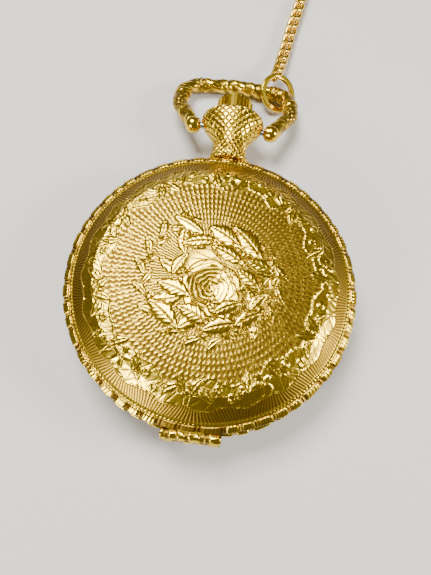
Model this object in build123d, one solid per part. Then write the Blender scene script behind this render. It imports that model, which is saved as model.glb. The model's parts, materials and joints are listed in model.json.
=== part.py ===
from build123d import *

import os
from math import asin, atan2, cos, degrees, hypot, pi, radians, sin, tan

# Hand-wound hunter fob watch with a stirrup bow, a jump ring and a curb chain.
# Millimetres. The origin is the centre of the back cover's flat resting face.
# +Z goes up through the closed front lid, +Y goes out to the crown at 12 o'clock.

# Case
top_z = 12.6
rim_r = 22.9
band_r = 22.5
band_bore_r = 19.5
band_low_z = 4.4
band_high_z = 8.2
shell_t = 0.55
rest_r = 12.5
slope_r = 18.2
slope_foot_r = 21.7
lid_inner_r = 20.6
parting_gap = 0.05

# Hinges at 6 o'clock
hinge_y = -23.45
hinge_lid_z = band_high_z + parting_gap / 2
hinge_back_z = band_low_z - parting_gap / 2
knuckle_r = 0.7
knuckle_half = 2.0
hinge_half = 4.5
pin_r = 0.28
running_gap = 0.04

# Pendant, stem and crown, all on one axis along Y
stem_z = 6.3
stem_r = 0.55
pendant_bore_r = 1.6
pendant_mouth_y = 33.4
crown_r = 3.25
crown_low_y = 32.9
crown_high_y = 37.1
crown_flutes = 30
crown_seat_r = 3.5

# Bow, hanging from two ball knobs and resting on the surface
pivot_y = 30.9
knob_x = 7.1
knob_r = 1.5
bow_tube_r = 1.3
bow_bar_v = 14.2
bow_bar_z = bow_tube_r + 0.1
bow_drop = asin((stem_z - bow_bar_z) / bow_bar_v)

# Jump ring through the bow's corner
ring_mean_r = 3.1
ring_wire_r = 0.43
ring_centre = (7.81, 43.37, 2.1)
ring_normal = (0.416, -0.309, 0.855)

# Chain, laid along the surface to its coil
chain_d = 2.6
coil_mean_r = 14.3
coil_centre = (27.0, 91.5)
coil_low_z = 0.35
coil_high_z = 5.1
coil_half_w = 2.9

# Movement
plate_r = 17.0
plate_low_z = 5.1
plate_high_z = 7.0
dial_low_z = 7.8
dial_t = 0.35
dial_r = 18.5
bridge_low_z = 2.5
bridge_t = 0.8
bridge_high_z = bridge_low_z + bridge_t
ratchet_z = 1.95
ratchet_t = 0.4

# Wheel centres, seen from the front
barrel_at = (-7.06, 4.92)
centre_at = (0.0, 0.0)
third_at = (4.38, -4.835)
fourth_at = (0.0, -8.2)
escape_at = (-4.16, -9.72)
pallet_at = (-7.10, -8.02)
balance_at = (-9.70, -6.52)
minute_at = (2.5456, 2.5456)
crown_wheel_at = (0.0, 10.88)
click_at = (-5.15, 12.15)

# Tooth numbers: each pair's module follows from its centre distance
barrel_teeth = 60
centre_leaves = 10
centre_teeth = 64
third_leaves = 8
third_teeth = 60
fourth_leaves = 8
fourth_teeth = 60
escape_leaves = 6
escape_teeth = 15
cannon_leaves = 10
minute_teeth = 30
minute_leaves = 8
hour_teeth = 32
crown_wheel_teeth = 30
ratchet_teeth = 54
winding_leaves = 12
contrate_teeth = 20


def save(part, name):
    """Writes one sub-part to its STEP file."""
    export_step(part, f"parts/{name}.step")


def turned(points):
    """A solid of revolution about Z from its outline of (radius, z) points."""
    outline = Plane.XZ * make_face(Polyline(*points, close=True))
    return revolve(outline, Axis.Z)


def disc(centre, radius, low_z, high_z):
    """An upright cylinder between two heights."""
    height = high_z - low_z
    return Pos(centre[0], centre[1], low_z + height / 2) * Cylinder(radius, height)


def along_x(radius, x_low, x_high, y, z):
    """A cylinder along X."""
    return Pos((x_low + x_high) / 2, y, z) * Rot(0, 90, 0) * Cylinder(radius, x_high - x_low)


def along_y(radius, y_low, y_high):
    """A cylinder along Y on the stem's axis."""
    return Pos(0, (y_low + y_high) / 2, stem_z) * Rot(90, 0, 0) * Cylinder(radius, y_high - y_low)


def block(x_low, x_high, y_low, y_high, z_low, z_high):
    """A box between its limits."""
    middle = Pos((x_low + x_high) / 2, (y_low + y_high) / 2, (z_low + z_high) / 2)
    return middle * Box(x_high - x_low, y_high - y_low, z_high - z_low)


def between(a, b):
    """The distance between two centres."""
    return hypot(b[0] - a[0], b[1] - a[1])


def heading(a, b):
    """The direction from one centre to another, in radians."""
    return atan2(b[1] - a[1], b[0] - a[0])


def tooth_ring(teeth, module, phase):
    """The outline of a wheel with straight-flanked teeth, one tooth centred on phase."""
    pitch = 2 * pi / teeth
    root = module * (teeth / 2 - 1.1)
    tip = module * (teeth / 2 + 0.85)
    corners = ((root, -0.27), (tip, -0.13), (tip, 0.13), (root, 0.27))
    points = []
    for k in range(teeth):
        for radius, share in corners:
            angle = phase + (k + share) * pitch
            points.append((radius * cos(angle), radius * sin(angle)))
    return make_face(Polyline(*points, close=True))


def gear(centre, teeth, module, low_z, high_z, phase=0.0):
    """A spur wheel blank with its teeth, without a bore."""
    ring = extrude(tooth_ring(teeth, module, phase), amount=high_z - low_z, dir=(0, 0, 1))
    return Pos(centre[0], centre[1], low_z) * ring


def meshing_phase(a, a_teeth, a_phase, b, b_teeth):
    """The tooth phase that lets wheel b mesh with wheel a."""
    line = heading(a, b)
    a_share = (line - a_phase) / (2 * pi / a_teeth)
    return line + pi - (0.5 - a_share) * 2 * pi / b_teeth


def windows(centre, hub_r, rim_inner_r, arms, arm_w, low_z, high_z):
    """The openings between a wheel's arms, to be cut from its web."""
    web = disc(centre, rim_inner_r, low_z, high_z) - disc(centre, hub_r, low_z, high_z)
    for k in range(arms):
        arm = Pos(rim_inner_r / 2, 0, 0) * Box(rim_inner_r + 1, arm_w, 9)
        web -= Pos(centre[0], centre[1], low_z) * Rot(0, 0, 360 * k / arms) * arm
    return web


def spiral(centre, start_r, step, half_turns, strip_t, low_z, high_z, start_deg=0):
    """A flat spiral strip of half-circle arcs, each a little wider than the last."""
    strip = None
    shift = 0.0
    for k in range(half_turns):
        radius = start_r + k * step / 2
        ring = Cylinder(radius + strip_t / 2, high_z - low_z) - Cylinder(radius - strip_t / 2, high_z - low_z)
        side = 1 if k % 2 == 0 else -1
        half = ring & Pos(0, side * (radius + 2), 0) * Box(4 * radius + 8, 2 * radius + 4, 9)
        piece = Pos(shift, 0, 0) * half
        strip = piece if strip is None else strip + piece
        shift += side * step / 2
    turn = Pos(centre[0], centre[1], (low_z + high_z) / 2) * Rot(0, 0, start_deg)
    return turn * strip


def dome_arc(high_z, radius, edge_z):
    """A dome's arc, level on the axis, from there to its edge: (radius, z) points."""
    drop = high_z - edge_z
    sphere_r = (radius**2 + drop**2) / (2 * drop)
    half_drop = sphere_r - (sphere_r**2 - radius**2 / 4) ** 0.5
    return ThreePointArc((0, high_z), (radius / 2, high_z - half_drop), (radius, edge_z))


def make_lid():
    """Front lid: a thin dome with a steep outer slope, a beaded rim and a hinge knuckle."""
    outside = dome_arc(top_z, slope_r, top_z - 1.15)
    edge = Polyline(
        (slope_r, top_z - 1.15),
        (slope_foot_r, 9.25),
        (22.3, 9.15),
        (rim_r, 8.85),
        (rim_r, 8.5),
        (22.6, band_high_z + parting_gap),
        (lid_inner_r, band_high_z + parting_gap),
        (lid_inner_r, 9.0),
        (17.8, 10.85),
    )
    inside = dome_arc(top_z - shell_t, 17.8, 10.85)
    centre_line = Line((0, top_z - shell_t), (0, top_z))
    shell = revolve(Plane.XZ * make_face([outside, edge, inside, centre_line]), Axis.Z)
    for side in (-1, 1):
        ends = sorted((side * (knuckle_half - 0.02), side * (hinge_half + 0.1)))
        shell -= along_x(knuckle_r + 0.1, ends[0], ends[1], hinge_y, hinge_lid_z)
    low = band_high_z + parting_gap
    web = block(-knuckle_half, knuckle_half, hinge_y, -22.3, low, hinge_lid_z + knuckle_r)
    knuckle = along_x(knuckle_r, -knuckle_half, knuckle_half, hinge_y, hinge_lid_z)
    bore = along_x(pin_r + running_gap, -knuckle_half - 1, knuckle_half + 1, hinge_y, hinge_lid_z)
    return shell + web + knuckle - bore


def make_back_cover():
    """Back cover: flat in the middle, where the watch rests, then a low slope and a rim."""
    flat = Line((0, 0), (rest_r, 0))
    swell = ThreePointArc((rest_r, 0), (15.5, 0.3), (slope_r, 1.0))
    edge = Polyline(
        (slope_r, 1.0),
        (slope_foot_r, 3.35),
        (22.3, 3.45),
        (rim_r, 3.75),
        (rim_r, 4.1),
        (22.6, band_low_z - parting_gap),
        (lid_inner_r, band_low_z - parting_gap),
        (lid_inner_r, 3.6),
        (17.8, 1.65),
    )
    inside = ThreePointArc((17.8, 1.65), (15.2, 0.9), (12.3, 0.6))
    floor = Polyline((12.3, 0.6), (0, 0.6), (0, 0))
    shell = revolve(Plane.XZ * make_face([flat, swell, edge, inside, floor]), Axis.Z)
    for side in (-1, 1):
        ends = sorted((side * (knuckle_half - 0.02), side * (hinge_half + 0.1)))
        shell -= along_x(knuckle_r + 0.1, ends[0], ends[1], hinge_y, hinge_back_z)
    high = band_low_z - parting_gap
    web = block(-knuckle_half, knuckle_half, hinge_y, -22.3, hinge_back_z - knuckle_r, high)
    knuckle = along_x(knuckle_r, -knuckle_half, knuckle_half, hinge_y, hinge_back_z)
    bore = along_x(pin_r + running_gap, -knuckle_half - 1, knuckle_half + 1, hinge_y, hinge_back_z)
    return shell + web + knuckle - bore


def make_band():
    """Case band: the middle ring with four hinge knuckles, a stem hole and a catch slot."""
    ring = turned(
        [
            (band_bore_r, band_low_z),
            (22.1, band_low_z),
            (band_r, band_low_z + 0.4),
            (band_r, band_high_z - 0.4),
            (22.1, band_high_z),
            (band_bore_r, band_high_z),
        ]
    )
    for z, web_low, web_high in (
        (hinge_lid_z, hinge_lid_z - knuckle_r, band_high_z),
        (hinge_back_z, band_low_z, hinge_back_z + knuckle_r),
    ):
        for side in (-1, 1):
            ends = sorted((side * (knuckle_half + 0.04), side * hinge_half))
            ring += block(ends[0], ends[1], hinge_y, -21.9, web_low, web_high)
            ring += along_x(knuckle_r, ends[0], ends[1], hinge_y, z)
        ring -= along_x(pin_r, -hinge_half - 1, hinge_half + 1, hinge_y, z)
        ring -= along_x(knuckle_r + 0.1, -knuckle_half - 0.04, knuckle_half + 0.04, hinge_y, z)
    ring -= along_y(stem_r + 0.2, 18, 24)
    ring -= block(-1.3, 1.3, 19.2, 20.56, plate_high_z, 9)
    return ring


def make_hinge_pins():
    """Two steel pins, one in each hinge."""
    upper = along_x(pin_r, -hinge_half, hinge_half, hinge_y, hinge_lid_z)
    lower = along_x(pin_r, -hinge_half, hinge_half, hinge_y, hinge_back_z)
    return Compound(children=[upper, lower])


def make_bezel():
    """Bezel ring, snapped into the band, holding the crystal."""
    ring = turned(
        [
            (18.75, 7.65),
            (band_bore_r, 7.65),
            (band_bore_r, 8.22),
            (19.95, 8.22),
            (19.95, 8.7),
            (19.5, 9.3),
            (18.1, 9.3),
            (18.1, 8.75),
            (17.5, 8.75),
            (17.5, 8.4),
            (18.75, 8.4),
        ]
    )
    return ring - block(-1.3, 1.3, 19.15, 21, 7, 8.22)


def make_crystal():
    """Domed mineral crystal in the bezel's seat."""
    edge = Polyline((0, 9.7), (0, 10.35))
    upper = dome_arc(10.35, 18.1, 9.25)
    side = Polyline((18.1, 9.25), (18.1, 8.75), (17.3, 8.75))
    lower = dome_arc(9.7, 17.3, 8.75)
    return revolve(Plane.XZ * make_face([edge, upper, side, lower]), Axis.Z)


def make_dial():
    """Enamelled dial with a sunk seconds circle and holes for the hands' pipes."""
    plate = disc((0, 0), dial_r, dial_low_z, dial_low_z + dial_t)
    plate -= disc(fourth_at, 3.7, dial_low_z + dial_t - 0.12, 9)
    plate -= disc((0, 0), 1.0, 7, 9)
    plate -= disc(fourth_at, 0.4, 7, 9)
    return plate


def hand(length, tail, width, hub_r, bore_r, low_z, high_z):
    """A leaf-shaped hand pointing along +Y, with its hub."""
    leaf = make_face(
        Polyline(
            (-0.18, -tail),
            (0.18, -tail),
            (0.22, hub_r),
            (width / 2, length * 0.62),
            (0.05, length),
            (-0.05, length),
            (-width / 2, length * 0.62),
            (-0.22, hub_r),
            close=True,
        )
    )
    blade = Pos(0, 0, low_z) * extrude(leaf, amount=high_z - low_z, dir=(0, 0, 1))
    hub = disc((0, 0), hub_r, low_z, high_z)
    return blade + hub - disc((0, 0), bore_r, low_z - 1, high_z + 1)


def make_hour_hand():
    """Hour hand at ten o'clock."""
    return Rot(0, 0, 55) * hand(8.6, 1.4, 1.9, 1.25, 0.85, 8.4, 8.54)


def make_minute_hand():
    """Minute hand at ten past."""
    return Rot(0, 0, -60) * hand(14.2, 3.0, 1.5, 0.95, 0.5, 8.66, 8.8)


def make_seconds_hand():
    """Small seconds hand below the centre."""
    blade = Rot(0, 0, 20) * hand(3.2, 1.2, 0.3, 0.42, 0.2, 8.1, 8.2)
    return Pos(fourth_at[0], fourth_at[1], 0) * blade


def pendant_section(y, half_w, half_h):
    """An elliptical cross-section of the pendant."""
    plane = Plane(origin=(0, y, stem_z), x_dir=(1, 0, 0), z_dir=(0, 1, 0))
    return plane * Ellipse(half_w, half_h)


def make_pendant():
    """Pendant: a foot on the band, a narrow neck and a tulip cup with two ears."""
    foot = loft([pendant_section(21.9, 3.4, 1.75), pendant_section(23.4, 3.3, 1.75)])
    lower = loft(
        [
            pendant_section(23.4, 3.3, 1.75),
            pendant_section(24.6, 3.15, 2.8),
            pendant_section(27.0, 2.8, 2.7),
            pendant_section(29.2, 3.9, 3.15),
            pendant_section(31.2, 5.3, 3.7),
            pendant_section(32.4, 5.4, 3.95),
            pendant_section(pendant_mouth_y, 4.7, 3.8),
        ]
    )
    body = foot + lower
    body -= Pos(0, 0, stem_z) * Cylinder(band_r, 12)
    body -= along_y(stem_r + 0.2, 20, 30)
    body -= along_y(pendant_bore_r, 27.6, 40)
    body -= along_y(crown_seat_r, crown_low_y - 0.6, 40)
    for side in (-1, 1):
        ends = sorted((side * 3.9, side * 8.0))
        body -= along_x(0.5 + running_gap, ends[0], ends[1], pivot_y, stem_z)
    return body


def make_crown():
    """Fluted crown with a rounded end and a short hub that runs in the pendant's bore."""
    flutes = []
    for k in range(crown_flutes):
        for radius, share in ((crown_r - 0.28, -0.25), (crown_r, -0.12), (crown_r, 0.12), (crown_r - 0.28, 0.25)):
            angle = (k + share) * 2 * pi / crown_flutes
            flutes.append((radius * cos(angle), radius * sin(angle)))
    plane = Plane(origin=(0, crown_low_y, stem_z), x_dir=(1, 0, 0), z_dir=(0, 1, 0))
    grip = extrude(plane * make_face(Polyline(*flutes, close=True)), amount=3.4, dir=(0, 1, 0))
    cap_plane = Plane(origin=(0, 0, stem_z), x_dir=(1, 0, 0), z_dir=(0, 0, 1))
    cap_low = crown_low_y + 3.4
    cap_edge = cap_low + 0.4
    rounded = dome_arc(crown_high_y, crown_r - 0.9, cap_edge)
    cap = cap_plane * make_face(
        [
            Polyline((0, crown_high_y), (0, cap_low), (crown_r - 0.3, cap_low), (crown_r - 0.9, cap_edge)),
            rounded,
        ]
    )
    dome = revolve(cap, Axis((0, 0, stem_z), (0, 1, 0)))
    hub = along_y(pendant_bore_r - running_gap, crown_low_y - 1.3, crown_low_y)
    return grip + dome + hub - along_y(stem_r, 20, crown_low_y + 1.6)


def make_winding_stem():
    """Winding stem from the crown through the pendant into the main plate."""
    return along_y(stem_r, 9.4, crown_low_y + 1.6)


def make_stem_collar():
    """Detent collar that holds the stem in its two positions, sliding in the pendant."""
    collar = along_y(pendant_bore_r - running_gap, 28.6, 30.8)
    return collar - along_y(stem_r + running_gap, 27, 32)


def stem_teeth(leaves, tip_r, root_r, y_low, y_high):
    """A pinion on the stem's axis with its leaves along Y, one pointing down."""
    points = []
    for k in range(leaves):
        for radius, share in ((root_r, -0.27), (tip_r, -0.12), (tip_r, 0.12), (root_r, 0.27)):
            angle = -pi / 2 + (k + share) * 2 * pi / leaves
            points.append((radius * cos(angle), radius * sin(angle)))
    plane = Plane(origin=(0, y_low, stem_z), x_dir=(1, 0, 0), z_dir=(0, -1, 0))
    outline = plane * make_face(Polyline(*points, close=True))
    return extrude(outline, amount=y_high - y_low, dir=(0, 1, 0))


def make_winding_pinion():
    """Winding pinion, turned by the stem and meshing with the contrate wheel."""
    return stem_teeth(winding_leaves, 1.32, 1.0, 12.2, 13.4) - along_y(stem_r + running_gap, 11, 15)


def make_sliding_pinion():
    """Sliding pinion on the inner end of the stem, moving with it when the hands are set."""
    return stem_teeth(10, 0.95, 0.78, 10.1, 11.1) - along_y(stem_r, 9, 12)


def make_contrate_wheel():
    """Contrate wheel under the barrel bridge, with the arbor that carries the crown wheel."""
    web = disc(crown_wheel_at, 2.25, 3.5, 3.9)
    wall = disc(crown_wheel_at, 2.25, 3.9, 5.12) - disc(crown_wheel_at, 1.6, 3.9, 5.2)
    for k in range(contrate_teeth):
        turn = Rot(0, 0, 90 + 360 * k / contrate_teeth)
        gap = Pos(crown_wheel_at[0], crown_wheel_at[1], 5.0) * turn * Pos(1.9, 0, 0)
        wall -= gap * Box(1.2, 0.36, 0.5)
    arbor = disc(crown_wheel_at, 0.55, 1.8, 3.6)
    return web + wall + arbor


def make_crown_wheel():
    """Crown wheel on top of the barrel bridge."""
    module = 2 * between(barrel_at, crown_wheel_at) / (ratchet_teeth + crown_wheel_teeth)
    wheel = gear(crown_wheel_at, crown_wheel_teeth, module, ratchet_z, ratchet_z + ratchet_t)
    return wheel - disc(crown_wheel_at, 0.55, 1, 4)


def make_ratchet_wheel():
    """Ratchet wheel on the barrel arbor's square."""
    module = 2 * between(barrel_at, crown_wheel_at) / (ratchet_teeth + crown_wheel_teeth)
    phase = meshing_phase(crown_wheel_at, crown_wheel_teeth, 0, barrel_at, ratchet_teeth)
    wheel = gear(barrel_at, ratchet_teeth, module, ratchet_z, ratchet_z + ratchet_t, phase)
    return wheel - disc(barrel_at, 0.5, 1, 4)


def slotted_head(centre, radius, low_z, high_z, turn_deg):
    """A cheese head seen from the back, with its driver slot in the low face."""
    head = disc(centre, radius, low_z, high_z)
    slot = Pos(centre[0], centre[1], low_z) * Rot(0, 0, turn_deg) * Box(4, 0.22, 0.24)
    return head - slot


def make_ratchet_screw():
    """Screw that holds the ratchet wheel to the barrel arbor."""
    return slotted_head(barrel_at, 1.1, 1.6, ratchet_z, 25)


def make_barrel_drum():
    """Going barrel: the toothed rim, wall and floor."""
    module = 2 * between(barrel_at, centre_at) / (barrel_teeth + centre_leaves)
    phase = meshing_phase(centre_at, centre_leaves, 0, barrel_at, barrel_teeth)
    rim = gear(barrel_at, barrel_teeth, module, 5.3, 5.85, phase)
    wall = disc(barrel_at, 6.7, 3.85, 5.5)
    hollow = disc(barrel_at, 6.2, 3.8, 5.6)
    return rim + wall - hollow - disc(barrel_at, 0.54, 3, 7)


def make_barrel_cover():
    """Thin cover snapped into the open side of the barrel."""
    return disc(barrel_at, 6.2, 3.85, 4.08) - disc(barrel_at, 0.54, 3, 7)


def make_mainspring():
    """Mainspring, coiled inside the barrel with a gap round the arbor."""
    return spiral(barrel_at, 1.5, 0.62, 14, 0.16, 4.2, 5.5)


def make_barrel_arbor():
    """Barrel arbor with a thicker core, a lower pivot and the square for the ratchet wheel."""
    core = disc(barrel_at, 1.05, 4.15, 5.55)
    pivots = disc(barrel_at, 0.5, ratchet_z, 6.7)
    return core + pivots


def train_wheel(at, wheel, pinion, arbor_r, low_z, high_z, pivot_r):
    """An arbor with its wheel and pinion: each of those is (teeth, module, low, high, phase)."""
    body = disc(at, arbor_r, 3.34, 5.06) + disc(at, pivot_r, low_z, high_z)
    teeth, module, low, high, phase = wheel
    rim = gear(at, teeth, module, low, high, phase)
    pitch_r = module * teeth / 2
    rim -= windows(at, arbor_r + 0.5, pitch_r * 0.8, 5, 0.45, low - 0.1, high + 0.1)
    teeth, module, low, high, phase = pinion
    return body + rim + gear(at, teeth, module, low, high, phase)


def make_centre_wheel():
    """Centre wheel and pinion, its arbor carrying the cannon pinion."""
    slow = 2 * between(barrel_at, centre_at) / (barrel_teeth + centre_leaves)
    fast = 2 * between(centre_at, third_at) / (centre_teeth + third_leaves)
    wheel = (centre_teeth, fast, 3.45, 3.7, 0.0)
    pinion = (centre_leaves, slow, 5.28, 5.9, 0.0)
    body = train_wheel(centre_at, wheel, pinion, 0.6, 2.55, 7.04, 0.4)
    return body + disc(centre_at, 0.3, 7.0, 8.8) + disc(centre_at, 0.6, 5.0, 5.9)


def make_third_wheel():
    """Third wheel and pinion."""
    slow = 2 * between(centre_at, third_at) / (centre_teeth + third_leaves)
    fast = 2 * between(third_at, fourth_at) / (third_teeth + fourth_leaves)
    phase = meshing_phase(centre_at, centre_teeth, 0, third_at, third_leaves)
    wheel = (third_teeth, fast, 4.25, 4.45, 0.0)
    pinion = (third_leaves, slow, 3.36, 3.8, phase)
    return train_wheel(third_at, wheel, pinion, 0.3, 2.6, 5.45, 0.15)


def make_fourth_wheel():
    """Fourth wheel, turning once a minute, with the long pivot for the seconds hand."""
    slow = 2 * between(third_at, fourth_at) / (third_teeth + fourth_leaves)
    fast = 2 * between(fourth_at, escape_at) / (fourth_teeth + escape_leaves)
    phase = meshing_phase(third_at, third_teeth, 0, fourth_at, fourth_leaves)
    wheel = (fourth_teeth, fast, 4.75, 4.95, 0.0)
    pinion = (fourth_leaves, slow, 4.15, 4.6, phase)
    return train_wheel(fourth_at, wheel, pinion, 0.3, 2.6, 8.3, 0.2)


def make_escape_wheel():
    """Escape wheel with fifteen slanted teeth, and its pinion."""
    module = 2 * between(fourth_at, escape_at) / (fourth_teeth + escape_leaves)
    phase = meshing_phase(fourth_at, fourth_teeth, 0, escape_at, escape_leaves)
    points = []
    for k in range(escape_teeth):
        for radius, share in ((1.9, 0.0), (2.45, 0.42), (2.4, 0.52), (1.95, 0.3)):
            angle = (k + share) * 2 * pi / escape_teeth
            points.append((radius * cos(angle), radius * sin(angle)))
    star = extrude(make_face(Polyline(*points, close=True)), amount=0.2, dir=(0, 0, 1))
    wheel = Pos(escape_at[0], escape_at[1], 3.95) * star
    wheel -= windows(escape_at, 0.6, 1.55, 4, 0.3, 3.8, 4.3)
    body = disc(escape_at, 0.22, 3.34, 5.06) + disc(escape_at, 0.12, 2.6, 5.45)
    return body + wheel + gear(escape_at, escape_leaves, module, 4.65, 5.04, phase)


def make_pallet_fork():
    """Pallet fork: two arms with their stones, and a lever that ends short of the roller."""
    line = degrees(heading(pallet_at, balance_at))
    lever = Pos(0.9, 0, 0) * Box(2.2, 0.28, 0.2)
    horns = Pos(1.95, 0.16, 0) * Box(0.3, 0.14, 0.2) + Pos(1.95, -0.16, 0) * Box(0.3, 0.14, 0.2)
    fork = Rot(0, 0, line) * (lever + horns)
    hub = Cylinder(0.45, 0.2)
    arms = hub
    to_wheel = heading(pallet_at, escape_at)
    for side in (-1, 1):
        stone_at = (
            escape_at[0] + 2.8 * cos(to_wheel + pi + side * radians(30)) - pallet_at[0],
            escape_at[1] + 2.8 * sin(to_wheel + pi + side * radians(30)) - pallet_at[1],
        )
        reach = hypot(*stone_at)
        turn = degrees(atan2(stone_at[1], stone_at[0]))
        arms += Rot(0, 0, turn) * Pos(reach / 2, 0, 0) * Box(reach, 0.3, 0.2)
        arms += Pos(stone_at[0], stone_at[1], 0) * Rot(0, 0, turn + 40) * Box(0.28, 0.5, 0.26)
    anchor = Pos(pallet_at[0], pallet_at[1], 4.05) * (fork + arms)
    return anchor + disc(pallet_at, 0.12, 3.62, 5.45)


def make_balance_wheel():
    """Balance wheel: a rim with two arms and twelve timing screws."""
    rim = disc(balance_at, 4.0, 2.95, 3.4) - disc(balance_at, 3.5, 2.9, 3.5)
    arm = Pos(balance_at[0], balance_at[1], 3.1) * Rot(0, 0, 35) * Box(7.3, 0.6, 0.22)
    wheel = rim + arm + disc(balance_at, 0.6, 2.99, 3.21)
    for k in range(12):
        turn = Pos(balance_at[0], balance_at[1], 3.18) * Rot(0, 0, 35 + 15 + 30 * k)
        wheel += turn * Pos(4.1, 0, 0) * Rot(0, 90, 0) * Cylinder(0.16, 0.4)
    return wheel - disc(balance_at, 0.3, 2, 4)


def make_balance_staff():
    """Balance staff with the roller and its impulse pin."""
    staff = disc(balance_at, 0.3, 2.2, 4.5) + disc(balance_at, 0.12, 1.75, 5.45)
    roller = disc(balance_at, 0.62, 3.72, 3.9)
    line = heading(balance_at, pallet_at)
    pin_at = (balance_at[0] + 0.5 * cos(line), balance_at[1] + 0.5 * sin(line))
    return staff + roller + disc(pin_at, 0.09, 3.85, 4.2)


def make_hairspring():
    """Hairspring between the cock and the balance."""
    return spiral(balance_at, 0.7, 0.42, 10, 0.06, 2.4, 2.65, 200)


def make_plate():
    """Main plate with its dial rim, the sinks for the wheels and the slot for the stem."""
    plate = disc((0, 0), plate_r, plate_low_z, plate_high_z)
    plate += disc((0, 0), plate_r, plate_high_z, dial_low_z) - disc((0, 0), 16.2, 6.5, 8)
    plate -= disc(barrel_at, 7.95, 5.0, 6.0)
    plate -= disc(centre_at, 1.7, 5.0, 6.0)
    plate -= disc(crown_wheel_at, 2.6, 5.0, 5.4)
    plate -= block(-1.6, 1.6, 9.3, 14.0, 5, 7.5)
    plate -= along_y(stem_r + running_gap, 8, 20)
    plate -= disc(barrel_at, 0.54, 5, 6.8)
    plate -= disc(centre_at, 0.44, 5, 7.5)
    plate -= disc(fourth_at, 0.3, 5, 7.5)
    for at in (third_at, fourth_at, escape_at, pallet_at, balance_at):
        plate -= disc(at, 0.6, 5.0, 5.5)
    for at, _ in posts():
        plate -= disc(at, 0.35, 5.0, 6.2)
    plate -= disc(minute_at, 0.3, 6, 7.5)
    return plate


def posts():
    """Centres and radii of the pillars under the barrel bridge and the train bridge."""
    return (
        ((7.25, 12.56), 1.0),
        ((-3.6, 15.0), 0.9),
        ((-15.0, -2.5), 0.9),
        ((9.5, 3.5), 1.0),
        ((11.5, -4.5), 1.0),
        ((6.5, -13.0), 1.0),
        ((-4.5, -14.6), 0.9),
    )


def cut_side(above):
    """The half plane on one side of the line where the two large bridges meet."""
    shift = 20.0 + 0.15 if above else -20.0 - 0.15
    return Pos(0, -2.0, 3) * Rot(0, 0, 6.84) * Pos(0, shift, 0) * Box(60, 40, 8)


def bridge(above, chosen):
    """One of the two large bridges with its pillars and screw holes."""
    sheet = disc((0, 0), 16.6, bridge_low_z, bridge_high_z) & cut_side(above)
    sheet -= disc(balance_at, 4.8, 2, 4)
    sheet -= disc(foot_at(), 1.5, 2, 4)
    for k in chosen:
        at, radius = posts()[k]
        sheet += disc(at, radius, bridge_low_z, plate_low_z)
        sheet -= disc(at, 0.35, 2, 6)
        sheet -= disc(at, 0.75, 2, bridge_low_z + 0.25)
    return sheet


def foot_at():
    """Where the balance cock stands on the main plate."""
    return (-9.6, -12.6)


def make_barrel_bridge():
    """Barrel bridge over the barrel, the centre wheel and the contrate wheel."""
    sheet = bridge(True, (0, 1, 2, 3))
    sheet -= disc(barrel_at, 0.54, 2, 4)
    sheet -= disc(crown_wheel_at, 0.59, 2, 4)
    sheet -= disc(centre_at, 0.7, 2, 2.9)
    sheet -= disc(centre_at, 0.44, 2, 4)
    return sheet - disc(click_at, 0.3, 2, 4)


def make_train_bridge():
    """Train bridge over the third, fourth and escape wheels."""
    sheet = bridge(False, (4, 5, 6))
    for at in (third_at, fourth_at, escape_at):
        sheet -= disc(at, 0.6, 2, 2.9)
        sheet -= disc(at, 0.25, 2, 4)
    return sheet


def bar_between(a, b, width, low_z, high_z):
    """A flat bar with round ends from one centre to another."""
    turn = degrees(heading(a, b))
    middle = Pos((a[0] + b[0]) / 2, (a[1] + b[1]) / 2, (low_z + high_z) / 2)
    bar = middle * Rot(0, 0, turn) * Box(between(a, b), width, high_z - low_z)
    return bar + disc(a, width / 2, low_z, high_z) + disc(b, width / 2, low_z, high_z)


def make_balance_cock():
    """Balance cock reaching from its foot over the balance."""
    arm = bar_between(foot_at(), balance_at, 2.4, 1.4, 2.1)
    arm += disc(balance_at, 1.7, 1.4, 2.1)
    arm += disc(foot_at(), 0.95, 1.4, plate_low_z)
    arm -= disc(balance_at, 0.6, 1, 2.15)
    arm -= disc(foot_at(), 0.35, 1, 5.2)
    return arm - disc(foot_at(), 0.75, 1, 1.75)


def make_regulator():
    """Regulator round the balance jewel, with its pointer."""
    ring = disc(balance_at, 1.15, 1.15, 1.36) - disc(balance_at, 0.65, 1, 2)
    pointer = Pos(balance_at[0], balance_at[1], 1.255) * Rot(0, 0, 140) * Pos(2.0, 0, 0)
    return ring + pointer * Box(2.2, 0.3, 0.21)


def pallet_feet():
    """The two feet of the pallet bridge."""
    return ((-5.4, -5.08), (-8.8, -10.96))


def make_pallet_bridge():
    """Pallet bridge: a bar on two feet over the pallet fork."""
    first, second = pallet_feet()
    bar = bar_between(first, second, 1.2, 3.57, 3.85)
    for at in (first, second):
        bar += disc(at, 0.6, 3.57, plate_low_z)
    return bar - disc(pallet_at, 0.15, 3, 4)


def ring_stone(at, outer_r, hole_r, low_z, high_z):
    """A pierced jewel."""
    return disc(at, outer_r, low_z, high_z) - disc(at, hole_r, low_z - 1, high_z + 1)


def make_jewels():
    """Ruby bearings of the train in the bridges and the main plate."""
    stones = [ring_stone(centre_at, 0.7, 0.43, bridge_low_z, 2.9)]
    for at, pivot in ((third_at, 0.15), (fourth_at, 0.2), (escape_at, 0.12)):
        stones.append(ring_stone(at, 0.6, pivot + 0.03, bridge_low_z, 2.9))
        stones.append(ring_stone(at, 0.6, pivot + 0.03, plate_low_z, 5.5))
    for at in (pallet_at, balance_at):
        stones.append(ring_stone(at, 0.6, 0.15, plate_low_z, 5.5))
    stones.append(ring_stone(balance_at, 0.6, 0.15, 1.4, 2.1))
    return Compound(children=stones)


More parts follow.
